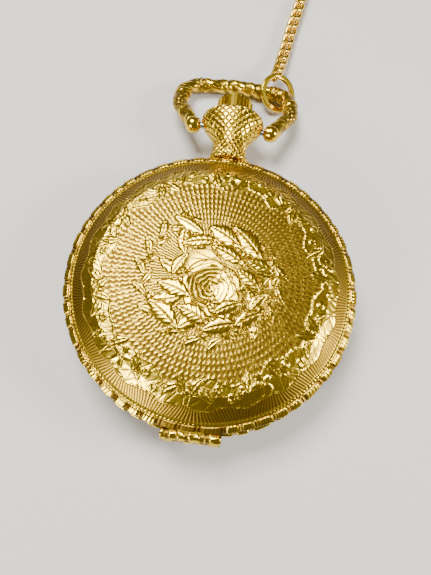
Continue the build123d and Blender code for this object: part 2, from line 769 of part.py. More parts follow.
def make_bridge_screws():
    """Blued screws in the bridges and the balance cock."""
    screws = []
    for k, (at, _) in enumerate(posts()):
        head = slotted_head(at, 0.75, bridge_low_z - 0.25, bridge_low_z + 0.25, 40 * k)
        screws.append(head + disc(at, 0.35, bridge_low_z + 0.2, 6.2))
    head = slotted_head(foot_at(), 0.75, 1.4, 1.75, 15)
    screws.append(head + disc(foot_at(), 0.35, 1.7, plate_low_z))
    return Compound(children=screws)


def make_click():
    """Click: a small pawl beside the ratchet wheel."""
    turn = degrees(heading(click_at, barrel_at))
    reach = between(click_at, barrel_at) - 6.22
    body = disc(click_at, 0.75, ratchet_z, ratchet_z + ratchet_t)
    beak = make_face(Polyline((0, -0.6), (reach, -0.5), (reach, -0.2), (0.3, 0.7), close=True))
    solid = extrude(beak, amount=ratchet_t, dir=(0, 0, 1))
    body += Pos(click_at[0], click_at[1], ratchet_z) * Rot(0, 0, turn) * solid
    return body + disc(click_at, 0.26, ratchet_z, 3.1)


def make_click_spring():
    """Click spring: a bent wire on the barrel bridge."""
    side = heading(click_at, barrel_at) - pi / 2
    start = (click_at[0] + 1.3 * cos(side), click_at[1] + 1.3 * sin(side))
    end = (start[0] - 3.2, start[1] - 1.0)
    return bar_between(start, end, 0.3, ratchet_z + 0.1, bridge_low_z)


def make_setting_lever():
    """Setting lever under the dial, which follows the stem when it is pulled."""
    pivot = setting_pivot()
    lever = bar_between(pivot, (0.4, 14.8), 0.9, 7.06, 7.3)
    return lever + disc(pivot, 0.7, 7.06, 7.45)


def setting_pivot():
    """The setting lever's pivot on the main plate."""
    return (4.4, 14.2)


def make_cannon_pinion():
    """Cannon pinion, friction tight on the centre arbor, carrying the minute hand."""
    module = 2 * between(centre_at, minute_at) / (cannon_leaves + minute_teeth)
    leaves = gear(centre_at, cannon_leaves, module, 7.08, 7.4)
    return leaves + disc(centre_at, 0.5, 7.08, 8.8) - disc(centre_at, 0.3, 7, 9)


def make_minute_wheel():
    """Minute wheel and pinion on a post under the dial."""
    module = 2 * between(centre_at, minute_at) / (cannon_leaves + minute_teeth)
    phase = meshing_phase(centre_at, cannon_leaves, 0, minute_at, minute_teeth)
    wheel = gear(minute_at, minute_teeth, module, 7.12, 7.34, phase)
    small = gear(minute_at, minute_leaves, module, 7.3, 7.7)
    return wheel + small + disc(minute_at, 0.26, 6.2, 7.7)


def make_hour_wheel():
    """Hour wheel with the pipe for the hour hand."""
    module = 2 * between(centre_at, minute_at) / (cannon_leaves + minute_teeth)
    phase = meshing_phase(minute_at, minute_leaves, 0, centre_at, hour_teeth)
    wheel = gear(centre_at, hour_teeth, module, 7.45, 7.66, phase)
    return wheel + disc(centre_at, 0.85, 7.45, 8.54) - disc(centre_at, 0.57, 7, 9)


def make_movement_ring():
    """Brass spacer ring between the movement and the band."""
    ring = turned([(plate_r, 5.3), (band_bore_r, 5.3), (band_bore_r, 7.0), (plate_r, 7.0)])
    return ring - along_y(stem_r + 0.2, 16, 20)


def arc_strip(inner_r, outer_r, low_z, high_z, from_deg, to_deg):
    """A flat curved strip between two angles."""
    ring = turned([(inner_r, low_z), (outer_r, low_z), (outer_r, high_z), (inner_r, high_z)])
    middle = (from_deg + to_deg) / 2
    half = radians((to_deg - from_deg) / 2)
    far = 2 * outer_r
    wedge = make_face(
        Polyline((0, 0), (far * cos(half), -far * sin(half)), (far * cos(half), far * sin(half)), close=True)
    )
    return ring & Rot(0, 0, middle) * extrude(wedge, amount=20, dir=(0, 0, 1))


def make_lock_spring():
    """Lid lock spring in the band, its catch rising beside the bezel at 12 o'clock."""
    strip = arc_strip(18.9, 19.45, 7.05, 7.55, 70, 128)
    foot = block(-1.0, 1.0, 19.0, 20.5, 7.05, 7.4)
    catch = block(-1.0, 1.0, 20.1, 20.5, 7.05, 8.9)
    return strip + foot + catch


def make_lift_spring():
    """Lid lift spring in the band, ending by the hinge."""
    return arc_strip(18.9, 19.45, 7.05, 7.55, 196, 264)


def bow_plane():
    """The plane of the bow, through its pivot, dropping to the surface."""
    down = (0, sin(bow_drop), cos(bow_drop))
    return Plane(origin=(0, pivot_y, stem_z), x_dir=(1, 0, 0), z_dir=down)


def make_bow():
    """Bow: a stirrup of round section with a ball knob at each foot."""
    half = [(7.1, 0), (10.6, 6.3), (9.9, 12.9)]
    points = [(-x, v) for x, v in half] + [(0, bow_bar_v)] + [(x, v) for x, v in reversed(half)]
    path = FilletPolyline(*points, radius=[2.6, 3.6, 6.0, 3.6, 2.6])
    tangent = path % 0
    start = Plane(origin=(points[0][0], points[0][1], 0), z_dir=(tangent.X, tangent.Y, 0))
    tube = sweep(start * Circle(bow_tube_r), path=path)
    for side in (-1, 1):
        tube += Pos(side * knob_x, 0, 0) * Sphere(knob_r)
    tube = bow_plane() * tube
    for side in (-1, 1):
        ends = sorted((side * 4.0, side * knob_x))
        tube -= along_x(0.5, ends[0], ends[1], pivot_y, stem_z)
    return tube


def make_bow_pins():
    """Two pivot pins from the knobs into the pendant's ears."""
    pins = []
    for side in (-1, 1):
        ends = sorted((side * 4.1, side * knob_x))
        pins.append(along_x(0.5, ends[0], ends[1], pivot_y, stem_z))
    return Compound(children=pins)


def make_jump_ring():
    """Plain round jump ring through the bow's right corner."""
    plane = Plane(origin=ring_centre, z_dir=ring_normal)
    return plane * Torus(ring_mean_r, ring_wire_r)


def chain_route():
    """The chain from the ring to its coil: down to the surface, then along it."""
    rest_z = chain_d / 2 + 0.02
    return [
        (7.3, 47.4, 3.0),
        (7.8, 50.5, 2.0),
        (8.5, 54.8, rest_z),
        (9.3, 60.6, rest_z),
        (10.6, 67.6, rest_z),
        (11.6, 74.8, rest_z),
        (11.3, 81.0, rest_z),
    ]


def turn_at(points, k):
    """How far the route turns at one of its points, in degrees."""
    before = Vector(*points[k]) - Vector(*points[k - 1])
    after = Vector(*points[k + 1]) - Vector(*points[k])
    return before.get_angle(after)


def make_chain_run():
    """The chain's outer shape along the stretch that isn't coiled."""
    points = chain_route()
    radii = []
    for k in range(1, len(points) - 1):
        run_in = (Vector(*points[k]) - Vector(*points[k - 1])).length
        run_out = (Vector(*points[k + 1]) - Vector(*points[k])).length
        radii.append(0.45 * min(run_in, run_out) / tan(radians(turn_at(points, k) / 2)))
    print("chain radii", [round(r, 1) for r in radii])
    path = FilletPolyline(*points, radius=radii)
    start = Plane(origin=points[0], z_dir=path % 0)
    tube = sweep(start * Circle(chain_d / 2), path=path)
    print("chain run length", round(path.length, 1), "volume", round(tube.volume, 1))
    print("section times length", round(pi * (chain_d / 2) ** 2 * path.length, 1))
    return tube


def make_chain_coil():
    """The outer shape of the put-away length, wound into a round coil."""
    inner = coil_mean_r - coil_half_w
    outer = coil_mean_r + coil_half_w
    soft = 1.0
    ring = turned(
        [
            (inner + soft, coil_low_z),
            (outer - soft, coil_low_z),
            (outer, coil_low_z + soft),
            (outer, coil_high_z - soft),
            (outer - soft, coil_high_z),
            (inner + soft, coil_high_z),
            (inner, coil_high_z - soft),
            (inner, coil_low_z + soft),
        ]
    )
    return Pos(coil_centre[0], coil_centre[1], 0) * ring


def make_coil_tie():
    """A soft strap round the coil that keeps it together."""
    inner = coil_mean_r - coil_half_w
    outer = coil_mean_r + coil_half_w
    strap = block(inner - 0.4, outer + 0.35, -1.1, 1.1, 0.0, coil_high_z + 0.35)
    strap -= block(inner - 0.1, outer + 0.05, -2, 2, coil_low_z - 0.02, coil_high_z + 0.02)
    return Pos(coil_centre[0], coil_centre[1], 0) * Rot(0, 0, 60) * strap


def make_end_bar():
    """T-bar at the chain's far end, lying beside the coil."""
    bar = Rot(90, 0, 0) * Cylinder(1.0, 16)
    bar += Pos(0, 8, 0) * Sphere(1.3)
    bar += Pos(0, -8, 0) * Sphere(1.3)
    loop = Pos(1.9, 0, 0) * Torus(1.15, 0.4)
    return Pos(coil_centre[0] + 22.0, coil_centre[1], 1.35) * Rot(0, 0, 180) * (bar + loop)


os.makedirs("parts", exist_ok=True)
save(make_lid(), "front_lid")
save(make_back_cover(), "back_cover")
save(make_band(), "case_band")
save(make_hinge_pins(), "hinge_pins")
save(make_bezel(), "bezel")
save(make_crystal(), "crystal")
save(make_dial(), "dial")
save(make_hour_hand(), "hour_hand")
save(make_minute_hand(), "minute_hand")
save(make_seconds_hand(), "seconds_hand")
save(make_pendant(), "pendant")
save(make_crown(), "winding_crown")
save(make_winding_stem(), "winding_stem")
save(make_stem_collar(), "stem_collar")
save(make_winding_pinion(), "winding_pinion")
save(make_sliding_pinion(), "sliding_pinion")
save(make_setting_lever(), "setting_lever")
save(make_contrate_wheel(), "contrate_wheel")
save(make_crown_wheel(), "crown_wheel")
save(make_ratchet_wheel(), "ratchet_wheel")
save(make_ratchet_screw(), "ratchet_screw")
save(make_click(), "click")
save(make_click_spring(), "click_spring")
save(make_barrel_drum(), "barrel_drum")
save(make_barrel_cover(), "barrel_cover")
save(make_barrel_arbor(), "barrel_arbor")
save(make_mainspring(), "mainspring")
save(make_centre_wheel(), "centre_wheel")
save(make_cannon_pinion(), "cannon_pinion")
save(make_third_wheel(), "third_wheel")
save(make_fourth_wheel(), "fourth_wheel")
save(make_escape_wheel(), "escape_wheel")
save(make_pallet_fork(), "pallet_fork")
save(make_balance_wheel(), "balance_wheel")
save(make_balance_staff(), "balance_staff")
save(make_hairspring(), "hairspring")
save(make_regulator(), "regulator")
save(make_minute_wheel(), "minute_wheel")
save(make_hour_wheel(), "hour_wheel")
save(make_plate(), "main_plate")
save(make_barrel_bridge(), "barrel_bridge")
save(make_train_bridge(), "train_bridge")
save(make_pallet_bridge(), "pallet_bridge")
save(make_balance_cock(), "balance_cock")
save(make_jewels(), "jewels")
save(make_bridge_screws(), "bridge_screws")
save(make_movement_ring(), "movement_ring")
save(make_lock_spring(), "lid_lock_spring")
save(make_lift_spring(), "lid_lift_spring")
save(make_bow(), "bow")
save(make_bow_pins(), "bow_pins")
save(make_jump_ring(), "jump_ring")
save(make_chain_run(), "chain_run")
save(make_chain_coil(), "chain_coil")
save(make_coil_tie(), "coil_tie")
save(make_end_bar(), "end_bar")
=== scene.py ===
import json
import math

import bpy
import numpy as np
from mathutils import Matrix, Vector
from mathutils.bvhtree import BVHTree


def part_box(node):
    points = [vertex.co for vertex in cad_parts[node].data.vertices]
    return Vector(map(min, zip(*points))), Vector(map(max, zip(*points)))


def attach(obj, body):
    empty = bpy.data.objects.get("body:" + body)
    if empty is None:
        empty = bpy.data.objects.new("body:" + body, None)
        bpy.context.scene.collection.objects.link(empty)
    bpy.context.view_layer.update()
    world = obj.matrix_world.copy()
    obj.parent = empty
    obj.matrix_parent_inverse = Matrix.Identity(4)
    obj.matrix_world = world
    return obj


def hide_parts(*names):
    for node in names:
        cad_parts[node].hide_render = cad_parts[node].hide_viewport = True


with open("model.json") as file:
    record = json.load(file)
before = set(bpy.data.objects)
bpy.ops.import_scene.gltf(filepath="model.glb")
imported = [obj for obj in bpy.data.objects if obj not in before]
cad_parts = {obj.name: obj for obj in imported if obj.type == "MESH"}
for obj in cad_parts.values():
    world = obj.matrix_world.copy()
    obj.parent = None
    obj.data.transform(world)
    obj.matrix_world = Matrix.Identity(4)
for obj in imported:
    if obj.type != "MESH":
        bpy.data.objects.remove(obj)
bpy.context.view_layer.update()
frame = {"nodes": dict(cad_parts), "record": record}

# Main plate, bridges and cocks: rolled brass sheet, sawn and drilled, then nickel plated.
# The tops are ground in straight stripes, which turn the light in soft bands. The fine
# marks between the stripes are drawn coarser than real.
mm = 0.001


def linear(code):
    """An sRGB hex colour as the linear values that a shader takes."""
    parts = [int(code[k : k + 2], 16) / 255 for k in (0, 2, 4)]
    return [c / 12.92 if c <= 0.04045 else ((c + 0.055) / 1.055) ** 2.4 for c in parts] + [1.0]


def node(tree, kind, settings={}, **sockets):
    """One shader node with its settings, and its sockets given a value or another's output."""
    made = tree.nodes.new(kind)
    for name, value in settings.items():
        setattr(made, name, value)
    for name, value in sockets.items():
        key = int(name[1:]) if name[0] == "i" and name[1:].isdigit() else name.replace("_", " ")
        if isinstance(value, bpy.types.NodeSocket):
            tree.links.new(value, made.inputs[key])
        else:
            made.inputs[key].default_value = value
    return made


def finish_of(name, **sockets):
    """A new material with its shader, whose own sockets hold what is the same all over."""
    material = bpy.data.materials.new(name)
    material.use_nodes = True
    material.node_tree.nodes.clear()
    shader = node(material.node_tree, "ShaderNodeBsdfPrincipled", **sockets)
    node(material.node_tree, "ShaderNodeOutputMaterial", Surface=shader.outputs["BSDF"])
    return material, material.node_tree, shader


def grain(size_mm, detail):
    """A soft random pattern, 0 to 1, whose patches are about that many mm across."""
    place = node(tree, "ShaderNodeTexCoord").outputs["Object"]
    noise = node(tree, "ShaderNodeTexNoise", Vector=place, Scale=1 / (size_mm * mm), Detail=detail)
    return noise.outputs["Fac"]


def spread(share, low, high):
    """A pattern's 0 to 1, spread from low to high."""
    return node(tree, "ShaderNodeMapRange", Value=share, To_Min=low, To_Max=high).outputs["Result"]


def feed(shader, **outputs):
    """Links patterns to the shader's sockets."""
    for name, output in outputs.items():
        tree.links.new(output, shader.inputs[name.replace("_", " ")])


def give_finish(slot, material):
    """Puts a finish on each made part that the parts list gives to that slot."""
    for part in frame["record"]["subparts"]:
        if part["material_slot"] == slot:
            mesh = frame["nodes"][part["node"]].data
            mesh.materials.clear()
            mesh.materials.append(material)


stripe_pitch = 1.4 * mm
nickel, tree, shader = finish_of(
    "nickel plate over brass, striped by grinding", Metallic=1.0, Base_Color=linear("C9C4B8")
)
place = node(tree, "ShaderNodeTexCoord")
stripes = node(
    tree,
    "ShaderNodeTexWave",
    {"wave_profile": "SAW", "bands_direction": "X"},
    Vector=place.outputs["Object"],
    Scale=math.tau / 20 / stripe_pitch,
)
hairline = grain(0.25, 2.0)
sheen = spread(stripes.outputs["Fac"], 0.22, 0.4)
feed(shader, Roughness=sheen)
relief = node(tree, "ShaderNodeBump", Strength=0.25, Distance=0.02 * mm, Height=hairline)
feed(shader, Normal=relief.outputs["Normal"])
give_finish("nickel_plate", nickel)

# Wheels and barrel: hard brass, stamped out, crossed, cut with teeth and lightly gilt.
# Turning leaves rings too fine to see, so the surface is a soft yellow satin.
def two_tones(share, first, second):
    """A colour between two, by a pattern's 0 to 1."""
    return node(tree, "ShaderNodeMix", {"data_type": "RGBA"}, i0=share, i6=first, i7=second).outputs[2]


brass, tree, shader = finish_of("brass, turned and gilt", Metallic=1.0)
cloud = grain(0.8, 4.0)
tone = two_tones(cloud, linear("D9B45A"), linear("C79A3C"))
satin = spread(cloud, 0.24, 0.38)
feed(shader, Base_Color=tone, Roughness=satin)
give_finish("wheel_brass", brass)

# Pinions, arbors, stem, click, levers and case springs: carbon steel, turned or filed,
# hardened and polished. It is nearly white. Its file marks are drawn coarser than real.
steel, tree, shader = finish_of(
    "carbon steel, hardened and polished", Metallic=1.0, Base_Color=linear("B9BBBD")
)
marks = grain(0.12, 2.0)
shine = spread(marks, 0.12, 0.26)
feed(shader, Roughness=shine)
give_finish("steel", steel)

# Hands, hairspring and screws: the same steel, polished and then heated until it
# turns blue. The oxide film is thin, so it still shines as metal.
blued, tree, shader = finish_of("steel, heat blued", Metallic=1.0)
film = grain(1.5, 2.0)
hue = two_tones(film, linear("1B2F7A"), linear("2B3F9E"))
gloss = spread(film, 0.16, 0.28)
feed(shader, Base_Color=hue, Roughness=gloss)
give_finish("blued_steel", blued)

# Jewels: synthetic ruby, sawn, drilled and polished, pressed into the plate and bridges.
# They are clear red inside, and shine like glass.
ruby, tree, shader = finish_of("synthetic ruby, polished", Roughness=0.05, IOR=1.76)
depth = grain(0.5, 1.0)
red = two_tones(depth, linear("8E0F2E"), linear("C4234A"))
feed(shader, Base_Color=red)
give_finish("ruby", ruby)

# Dial: a copper disc fired with white enamel, sunk in a smaller circle for the seconds.
# The fired surface is glossy and very slightly uneven.
enamel, tree, shader = finish_of("vitreous enamel, fired on copper", Coat_Weight=0.6, Coat_Roughness=0.06)
firing = grain(2.5, 2.0)
cream = two_tones(firing, linear("F4F1E6"), linear("ECE7D8"))
glaze = spread(firing, 0.12, 0.2)
ripple = node(tree, "ShaderNodeBump", Strength=0.15, Distance=0.02 * mm, Height=firing)
feed(shader, Base_Color=cream, Roughness=glaze, Normal=ripple.outputs["Normal"])
give_finish("enamel", enamel)

# Numerals and tracks: black enamel printed on the white and fired again. Twelve plain
# hour numbers, sixty minute marks, and sixty second marks in the sunk circle.
ink, tree, shader = finish_of("black enamel, printed and fired", Roughness=0.3)
print_grain = grain(0.2, 2.0)
black = two_tones(print_grain, linear("15130F"), linear("2A2620"))
feed(shader, Base_Color=black)
dial_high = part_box("dial")[1]
dial_top = dial_high.z
dial_r = dial_high.x
ink_t = 0.03 * mm
number_r = dial_r * 0.78
number_size = 2.7 * mm
seconds_centre = Vector((0.0, -8.2 * mm, dial_top - 0.1 * mm))
seconds_r = 3.2 * mm


def at_rest(piece):
    """Puts a finished piece's place, turn and size into its mesh."""
    bpy.ops.object.select_all(action="DESELECT")
    bpy.context.view_layer.objects.active = piece
    piece.select_set(True)
    bpy.ops.object.transform_apply(location=True, rotation=True, scale=True)
    piece.select_set(False)


def join_as(name, pieces):
    """One piece from several like ones."""
    bpy.ops.object.select_all(action="DESELECT")
    for piece in pieces:
        piece.select_set(True)
    bpy.context.view_layer.objects.active = pieces[0]
    bpy.ops.object.join()
    whole = bpy.context.view_layer.objects.active
    whole.name = name
    whole.data.name = name
    at_rest(whole)
    return whole


def print_mark(angle, inner_r, outer_r, width, centre):
    """One printed stroke that points at the middle of its circle."""
    bpy.ops.object.select_all(action="DESELECT")
    bpy.ops.mesh.primitive_cube_add(size=1)
    mark = bpy.context.object
    mark.scale = (width, outer_r - inner_r, ink_t)
    mark.rotation_euler = (0, 0, -angle)
    middle = (inner_r + outer_r) / 2
    mark.location = centre + Vector((middle * math.sin(angle), middle * math.cos(angle), ink_t / 2))
    at_rest(mark)
    bpy.ops.object.select_all(action="DESELECT")
    mark.select_set(True)
    bpy.ops.object.mode_set(mode="EDIT")
    bpy.ops.mesh.select_all(action="SELECT")
    bpy.ops.mesh.bevel(offset=width * 0.2, segments=1)
    bpy.ops.object.mode_set(mode="OBJECT")
    return mark


numbers = []
for hour in range(1, 13):
    angle = math.tau * hour / 12
    bpy.ops.object.select_all(action="DESELECT")
    bpy.ops.object.text_add()
    number = bpy.context.object
    number.data.body = str(hour)
    number.data.align_x = "CENTER"
    number.data.align_y = "CENTER"
    number.data.size = number_size
    number.data.extrude = ink_t / 2
    number.data.resolution_u = 4
    number.location = (number_r * math.sin(angle), number_r * math.cos(angle), dial_top + ink_t / 2)
    bpy.ops.object.convert(target="MESH")
    numbers.append(bpy.context.object)
dial_numbers = join_as("dial_numbers", numbers)
dial_middle = Vector((0, 0, dial_top))
minute_marks = [
    print_mark(
        math.tau * k / 60,
        dial_r * 0.905,
        dial_r * 0.945,
        (0.3 if k % 5 == 0 else 0.12) * mm,
        dial_middle,
    )
    for k in range(60)
]
minute_track = join_as("minute_track", minute_marks)
second_marks = [
    print_mark(
        math.tau * k / 60,
        seconds_r - (0.55 if k % 5 == 0 else 0.3) * mm,
        seconds_r,
        0.06 * mm,
        seconds_centre,
    )
    for k in range(60)
]
seconds_track = join_as("seconds_track", second_marks)
for piece in (dial_numbers, minute_track, seconds_track):
    piece.data.materials.clear()
    piece.data.materials.append(ink)
    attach(piece, "case_body")

# Crystal: a low dome of clear mineral glass, ground, polished and pressed into the
# bezel's groove. Wiping leaves only a trace of haze.
glass, tree, shader = finish_of(
    "mineral glass, polished", Transmission_Weight=1.0, IOR=1.5, Base_Color=linear("FAFCFB")
)
wipe = grain(4, 3.0)
haze = spread(wipe, 0.0, 0.03)
feed(shader, Roughness=haze)
give_finish("crystal", glass)

# Case metal: brass, gilt all over. Polished on its high places, and brown in the cuts:
# tarnish where no cloth reaches, and painted shade in the recesses. Each point's brown follows how deep it
# lies.
gilt, tree, shader = finish_of("gold plate over chased brass", Metallic=1.0)
depth = node(tree, "ShaderNodeAttribute", {"attribute_name": "tarnish_and_shade"}).outputs["Fac"]
wear = grain(3, 4.0)
tone = two_tones(wear, linear("F5D438"), linear("E8BD30"))
# Brown where a point lies deep: tarnish, and painted shade in the recesses.
stain_and_shade = two_tones(depth, tone, linear("563614"))
polish = spread(depth, 0.17, 0.45)
scuff = grain(0.3, 3.0)
rub = node(tree, "ShaderNodeBump", Strength=0.12, Distance=0.02 * mm, Height=scuff)
feed(shader, Base_Color=stain_and_shade, Roughness=polish, Normal=rub.outputs["Normal"])
give_finish("gold_plate", gilt)

# Case band: the middle ring that holds the movement, turned, with a ridge chased in a
# row of short leaves all round below the lid and another above the back cover.
band_r = 22.5
band_low_z = 4.4
band_high_z = 8.2
ridge_leaves = 54


def turned(name, corners, steps):
    """A closed ring or disc turned about the watch's axis, from corners (radius, height, cuts) in mm."""
    bpy.ops.object.select_all(action="DESELECT")
    bpy.ops.mesh.primitive_plane_add(size=mm)
    bpy.ops.object.mode_set(mode="EDIT")
    bpy.ops.mesh.select_all(action="SELECT")
    bpy.ops.mesh.merge(type="CENTER")
    bpy.ops.transform.translate(value=(corners[0][0] * mm, 0, corners[0][1] * mm))
    for (r0, z0, cuts), (r1, z1, _) in zip(corners, corners[1:]):
        for _ in range(cuts + 1):
            step = ((r1 - r0) / (cuts + 1) * mm, 0, (z1 - z0) / (cuts + 1) * mm)
            bpy.ops.mesh.extrude_region_move(TRANSFORM_OT_translate={"value": step})
    bpy.ops.mesh.select_all(action="SELECT")
    bpy.ops.mesh.remove_doubles(threshold=1e-7)
    bpy.ops.object.mode_set(mode="OBJECT")
    piece = bpy.context.object
    lathe = piece.modifiers.new("lathe", "SCREW")
    lathe.axis = "Z"
    lathe.angle = math.tau
    lathe.steps = steps
    lathe.render_steps = steps
    lathe.use_merge_vertices = True
    lathe.merge_threshold = 1e-7
    bpy.ops.object.modifier_apply(modifier="lathe")
    bpy.ops.object.mode_set(mode="EDIT")
    bpy.ops.mesh.select_all(action="SELECT")
    bpy.ops.mesh.remove_doubles(threshold=1e-7)
    bpy.ops.mesh.normals_make_consistent(inside=False)
    bpy.ops.object.mode_set(mode="OBJECT")
    piece.name = name
    piece.data.name = name
    return piece


def points_of(piece):
    """A piece's points in mm, one row each."""
    flat = np.empty(len(piece.data.vertices) * 3)
    piece.data.vertices.foreach_get("co", flat)
    return flat.reshape(-1, 3) / mm


def chase(piece, points, tarnish_and_shade, smooth_deg=50):
    """Moves a piece's points to where chasing leaves them, and notes how brown each is painted: tarnish and
    painted shade in the hollows.
    """
    piece.data.vertices.foreach_set("co", (points * mm).reshape(-1))
    layer = piece.data.attributes.new("tarnish_and_shade", "FLOAT", "POINT")
    layer.data.foreach_set("value", np.clip(tarnish_and_shade, 0, 1).astype(np.float32))
    piece.data.update()
    bpy.ops.object.select_all(action="DESELECT")
    piece.select_set(True)
    bpy.context.view_layer.objects.active = piece
    bpy.ops.object.shade_smooth_by_angle(angle=math.radians(smooth_deg))
    piece.data.materials.clear()
    piece.data.materials.append(gilt)


def ease(x):
    """A smooth step from 0 to 1."""
    x = np.clip(x, 0, 1)
    return x * x * (3 - 2 * x)


def leaf_row(turn, count, seed=0.0):
    """Rounded lumps in a row, uneven in length, a bead in each gap, and lower at the hinges."""
    uneven = turn + 0.02 * np.sin(7 * turn + seed) + 0.012 * np.sin(17 * turn + 2 * seed)
    share = (uneven * count / math.tau) % 1
    lump = ease(np.minimum(share, 0.84 - share) / 0.16) * (0.8 + 0.2 * np.sin(13 * turn + seed))
    bead = 0.55 * ease(1 - np.abs(share - 0.92) / 0.06)
    from_hinge = np.abs((turn + math.pi / 2 + math.pi) % math.tau - math.pi)
    return np.maximum(lump, bead) * (0.35 + 0.65 * ease((from_hinge - 0.21) / 0.03))


for name, low_z, high_z, seed in (
    ("band_upper_ridge", band_high_z - 1.75, band_high_z - 0.06, 0.4),
    ("band_lower_ridge", band_low_z + 0.06, band_low_z + 1.75, 2.1),
):
    ridge = turned(
        name,
        [
            (band_r - 0.3, low_z, 3),
            (band_r + 0.05, low_z, 10),
            (band_r + 0.05, high_z, 3),
            (band_r - 0.3, high_z, 1),
            (band_r - 0.3, low_z, 0),
        ],
        1080,
    )
    points = points_of(ridge)
    turn = np.arctan2(points[:, 1], points[:, 0])
    radius = np.hypot(points[:, 0], points[:, 1])
    across = (points[:, 2] - low_z) / (high_z - low_z)
    outer = ease((radius - band_r + 0.3) / 0.3)
    swell = np.sin(math.pi * np.clip(across, 0, 1)) ** 0.7
    leaves = leaf_row(turn + 0.05 * (across - 0.5), ridge_leaves, seed)
    groove = 0.25 * (0.5 + 0.5 * np.cos(turn * ridge_leaves * 5 + 9 * across))
    height = outer * swell * (0.04 + 0.34 * leaves * (1 - groove))
    scale = (radius + height) / radius
    points[:, 0] *= scale
    points[:, 1] *= scale
    # Painted darker between the leaves and in the grooves: tarnish and painted shade.
    chase(ridge, points, outer * (0.95 - 1.1 * leaves + 0.5 * groove))
    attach(ridge, "case_body")

# Front lid: spun and pressed brass, engine turned in fine wavy rays, then chased by
# hand: a rose with large leaves in the middle, a border of flowers, a bead line, a rim of leaves.
lid_top_z = 12.6
slope_r = 18.2
slope_z = 11.45
slope_foot_r = 21.7
slope_foot_z = 9.25
dome_r = (slope_r**2 + (lid_top_z - slope_z) ** 2) / (2 * (lid_top_z - slope_z))
rays = 120
ray_wave = 0.95
ray_sway = 0.75
skin_lift = 0.04
big_leaves = [
    # x, y, angle, length, width, of each leaf round the rose
    (4.8, 6.0, -45, 8.2, 3.1),
    (1.3, 6.6, -30, 6.4, 3.0),
    (2.1, 3.6, -25, 6.4, 2.3),
    (-2.4, 5.3, 12, 6.0, 2.1),
    (-4.6, 8.0, -28, 6.0, 2.0),
    (7.2, 2.4, -18, 4.6, 2.1),
    (5.6, 0.0, -38, 5.0, 2.2),
    (-4.9, 1.3, 62, 4.6, 1.9),
    (-5.4, -2.9, -18, 5.8, 2.6),
    (-6.6, -6.9, -38, 6.8, 2.9),
    (-2.0, -6.6, -24, 6.0, 2.7),
    (2.4, -7.9, 17, 6.4, 2.4),
    (3.0, -4.9, 28, 5.0, 2.0),
    (6.3, -6.2, 34, 5.2, 2.2),
    (7.5, -3.2, 52, 4.4, 1.8),
]
rose_centre = (0.1, -2.0)
rose_r = 3.3
border_from_r = 14
border_inner_r = 16.35
border_outer_r = 19.75
bead_line_r = 21.72


def wreath_leaves():
    """Small leaves in pairs on two arcs beside the rose and one below it, then a spray behind it."""
    found = []
    for low, high, radius in ((-56, 22, 10.2), (112, 226, 10.5), (232, 296, 10.0)):
        for k, around in enumerate(np.arange(low, high, 9.5)):
            side = 1 if k % 2 else -1
            r = radius + 0.6 * side
            a = math.radians(around)
            found.append((r * math.cos(a), r * math.sin(a), around + 90 + 36 * side, 3.3, 1.35))
    for k in range(13):
        around = 27.7 * k + 12 * math.sin(2.1 * k)
        r = 6.7 + 0.9 * math.sin(1.7 * k)
        a = math.radians(around)
        found.append((r * math.cos(a), r * math.sin(a) - 0.4, around + 38 * math.sin(1.9 * k + 1), 5.4, 2.3))
    return found


def leaf_shape(x, y, leaf):
    """Height, tarnish with painted shade, and extent of one chased leaf: two swelling halves with a cut rib
    between.
    """
    cx, cy, angle, length, width = leaf
    a = math.radians(angle)
    along = ((x - cx) * math.cos(a) + (y - cy) * math.sin(a)) / (length / 2)
    across = (-(x - cx) * math.sin(a) + (y - cy) * math.cos(a)) / (width / 2)
    across = across - 0.3 * (1 - along**2)
    edge = np.clip(1 - np.abs(along) ** 1.8, 0, 1) * (1 + 0.07 * np.cos(along * length * 2.4))
    gap = edge - np.abs(across)
    inside = gap > -0.12 / width
    share = np.clip(1 - np.abs(across) / np.maximum(edge, 1e-3), 0, 1)
    body = np.sqrt(share * (2 - share)) * ease(np.clip(edge, 0, 1) * 3)
    rib = np.exp(-((across * width / 0.2) ** 2)) * ease((0.9 - np.abs(along)) / 0.3)
    veins = 0.5 + 0.5 * np.cos(math.tau * (along * length / 2 + 0.45 * np.abs(across) * width) / 0.8)
    swell = 0.13 + 0.035 * np.minimum(width, 3)
    height = body * (swell + 0.05 * across) - 0.11 * rib - 0.022 * veins * body
    rim = np.exp(-((gap * width / 0.16) ** 2))
    return height, np.clip(0.75 * rim + 0.55 * rib + 0.12 * veins, 0, 1), inside


def rose_shape(x, y):
    """An open rose: five broad outer petals round a bud that is rolled in a spiral."""
    dx = x - rose_centre[0]
    dy = y - rose_centre[1]
    rho = np.hypot(dx, dy)
    psi = np.arctan2(dy, dx)
    petal = (psi / math.tau * 5 + 0.18 * np.sin(2 * psi)) % 1
    reach = rose_r * (1.28 + 0.16 * np.sin(math.pi * petal) ** 0.6)
    outer_in = ease((reach - rho) / 0.3)
    outer = outer_in * (0.07 + 0.13 * (rho / reach) ** 2 + 0.06 * petal)
    fold = np.exp(-((np.minimum(petal, 1 - petal) * rho / 0.3) ** 2))
    # Painted dark in the folds between petals, round the outline and in the bud's spiral: tarnish and
    # painted shade.
    dark = outer_in * (0.7 * fold + 0.15) + 0.8 * np.exp(-(((reach - rho) / 0.14) ** 2))
    wave = 0.14 * np.sin(5 * psi + 1.5 * rho) + 0.07 * np.sin(9 * psi)
    share = (rho / 0.68 + psi / math.tau + wave) % 1
    bud_in = ease((rose_r * (1.1 + 0.08 * np.sin(5 * psi)) - rho) / 0.2)
    bud = 0.13 + 0.13 * share**1.8 + 0.06 * (1 - np.clip(rho / rose_r, 0, 1))
    bud_dark = np.where(share < 0.18, 0.85 - 3.5 * share, 0.1)
    height = outer * (1 - bud_in) + bud * bud_in
    dirt_and_shade = np.clip(dark * (1 - bud_in) + bud_dark * bud_in, 0, 1)
    return height, dirt_and_shade, rho < reach + 0.15


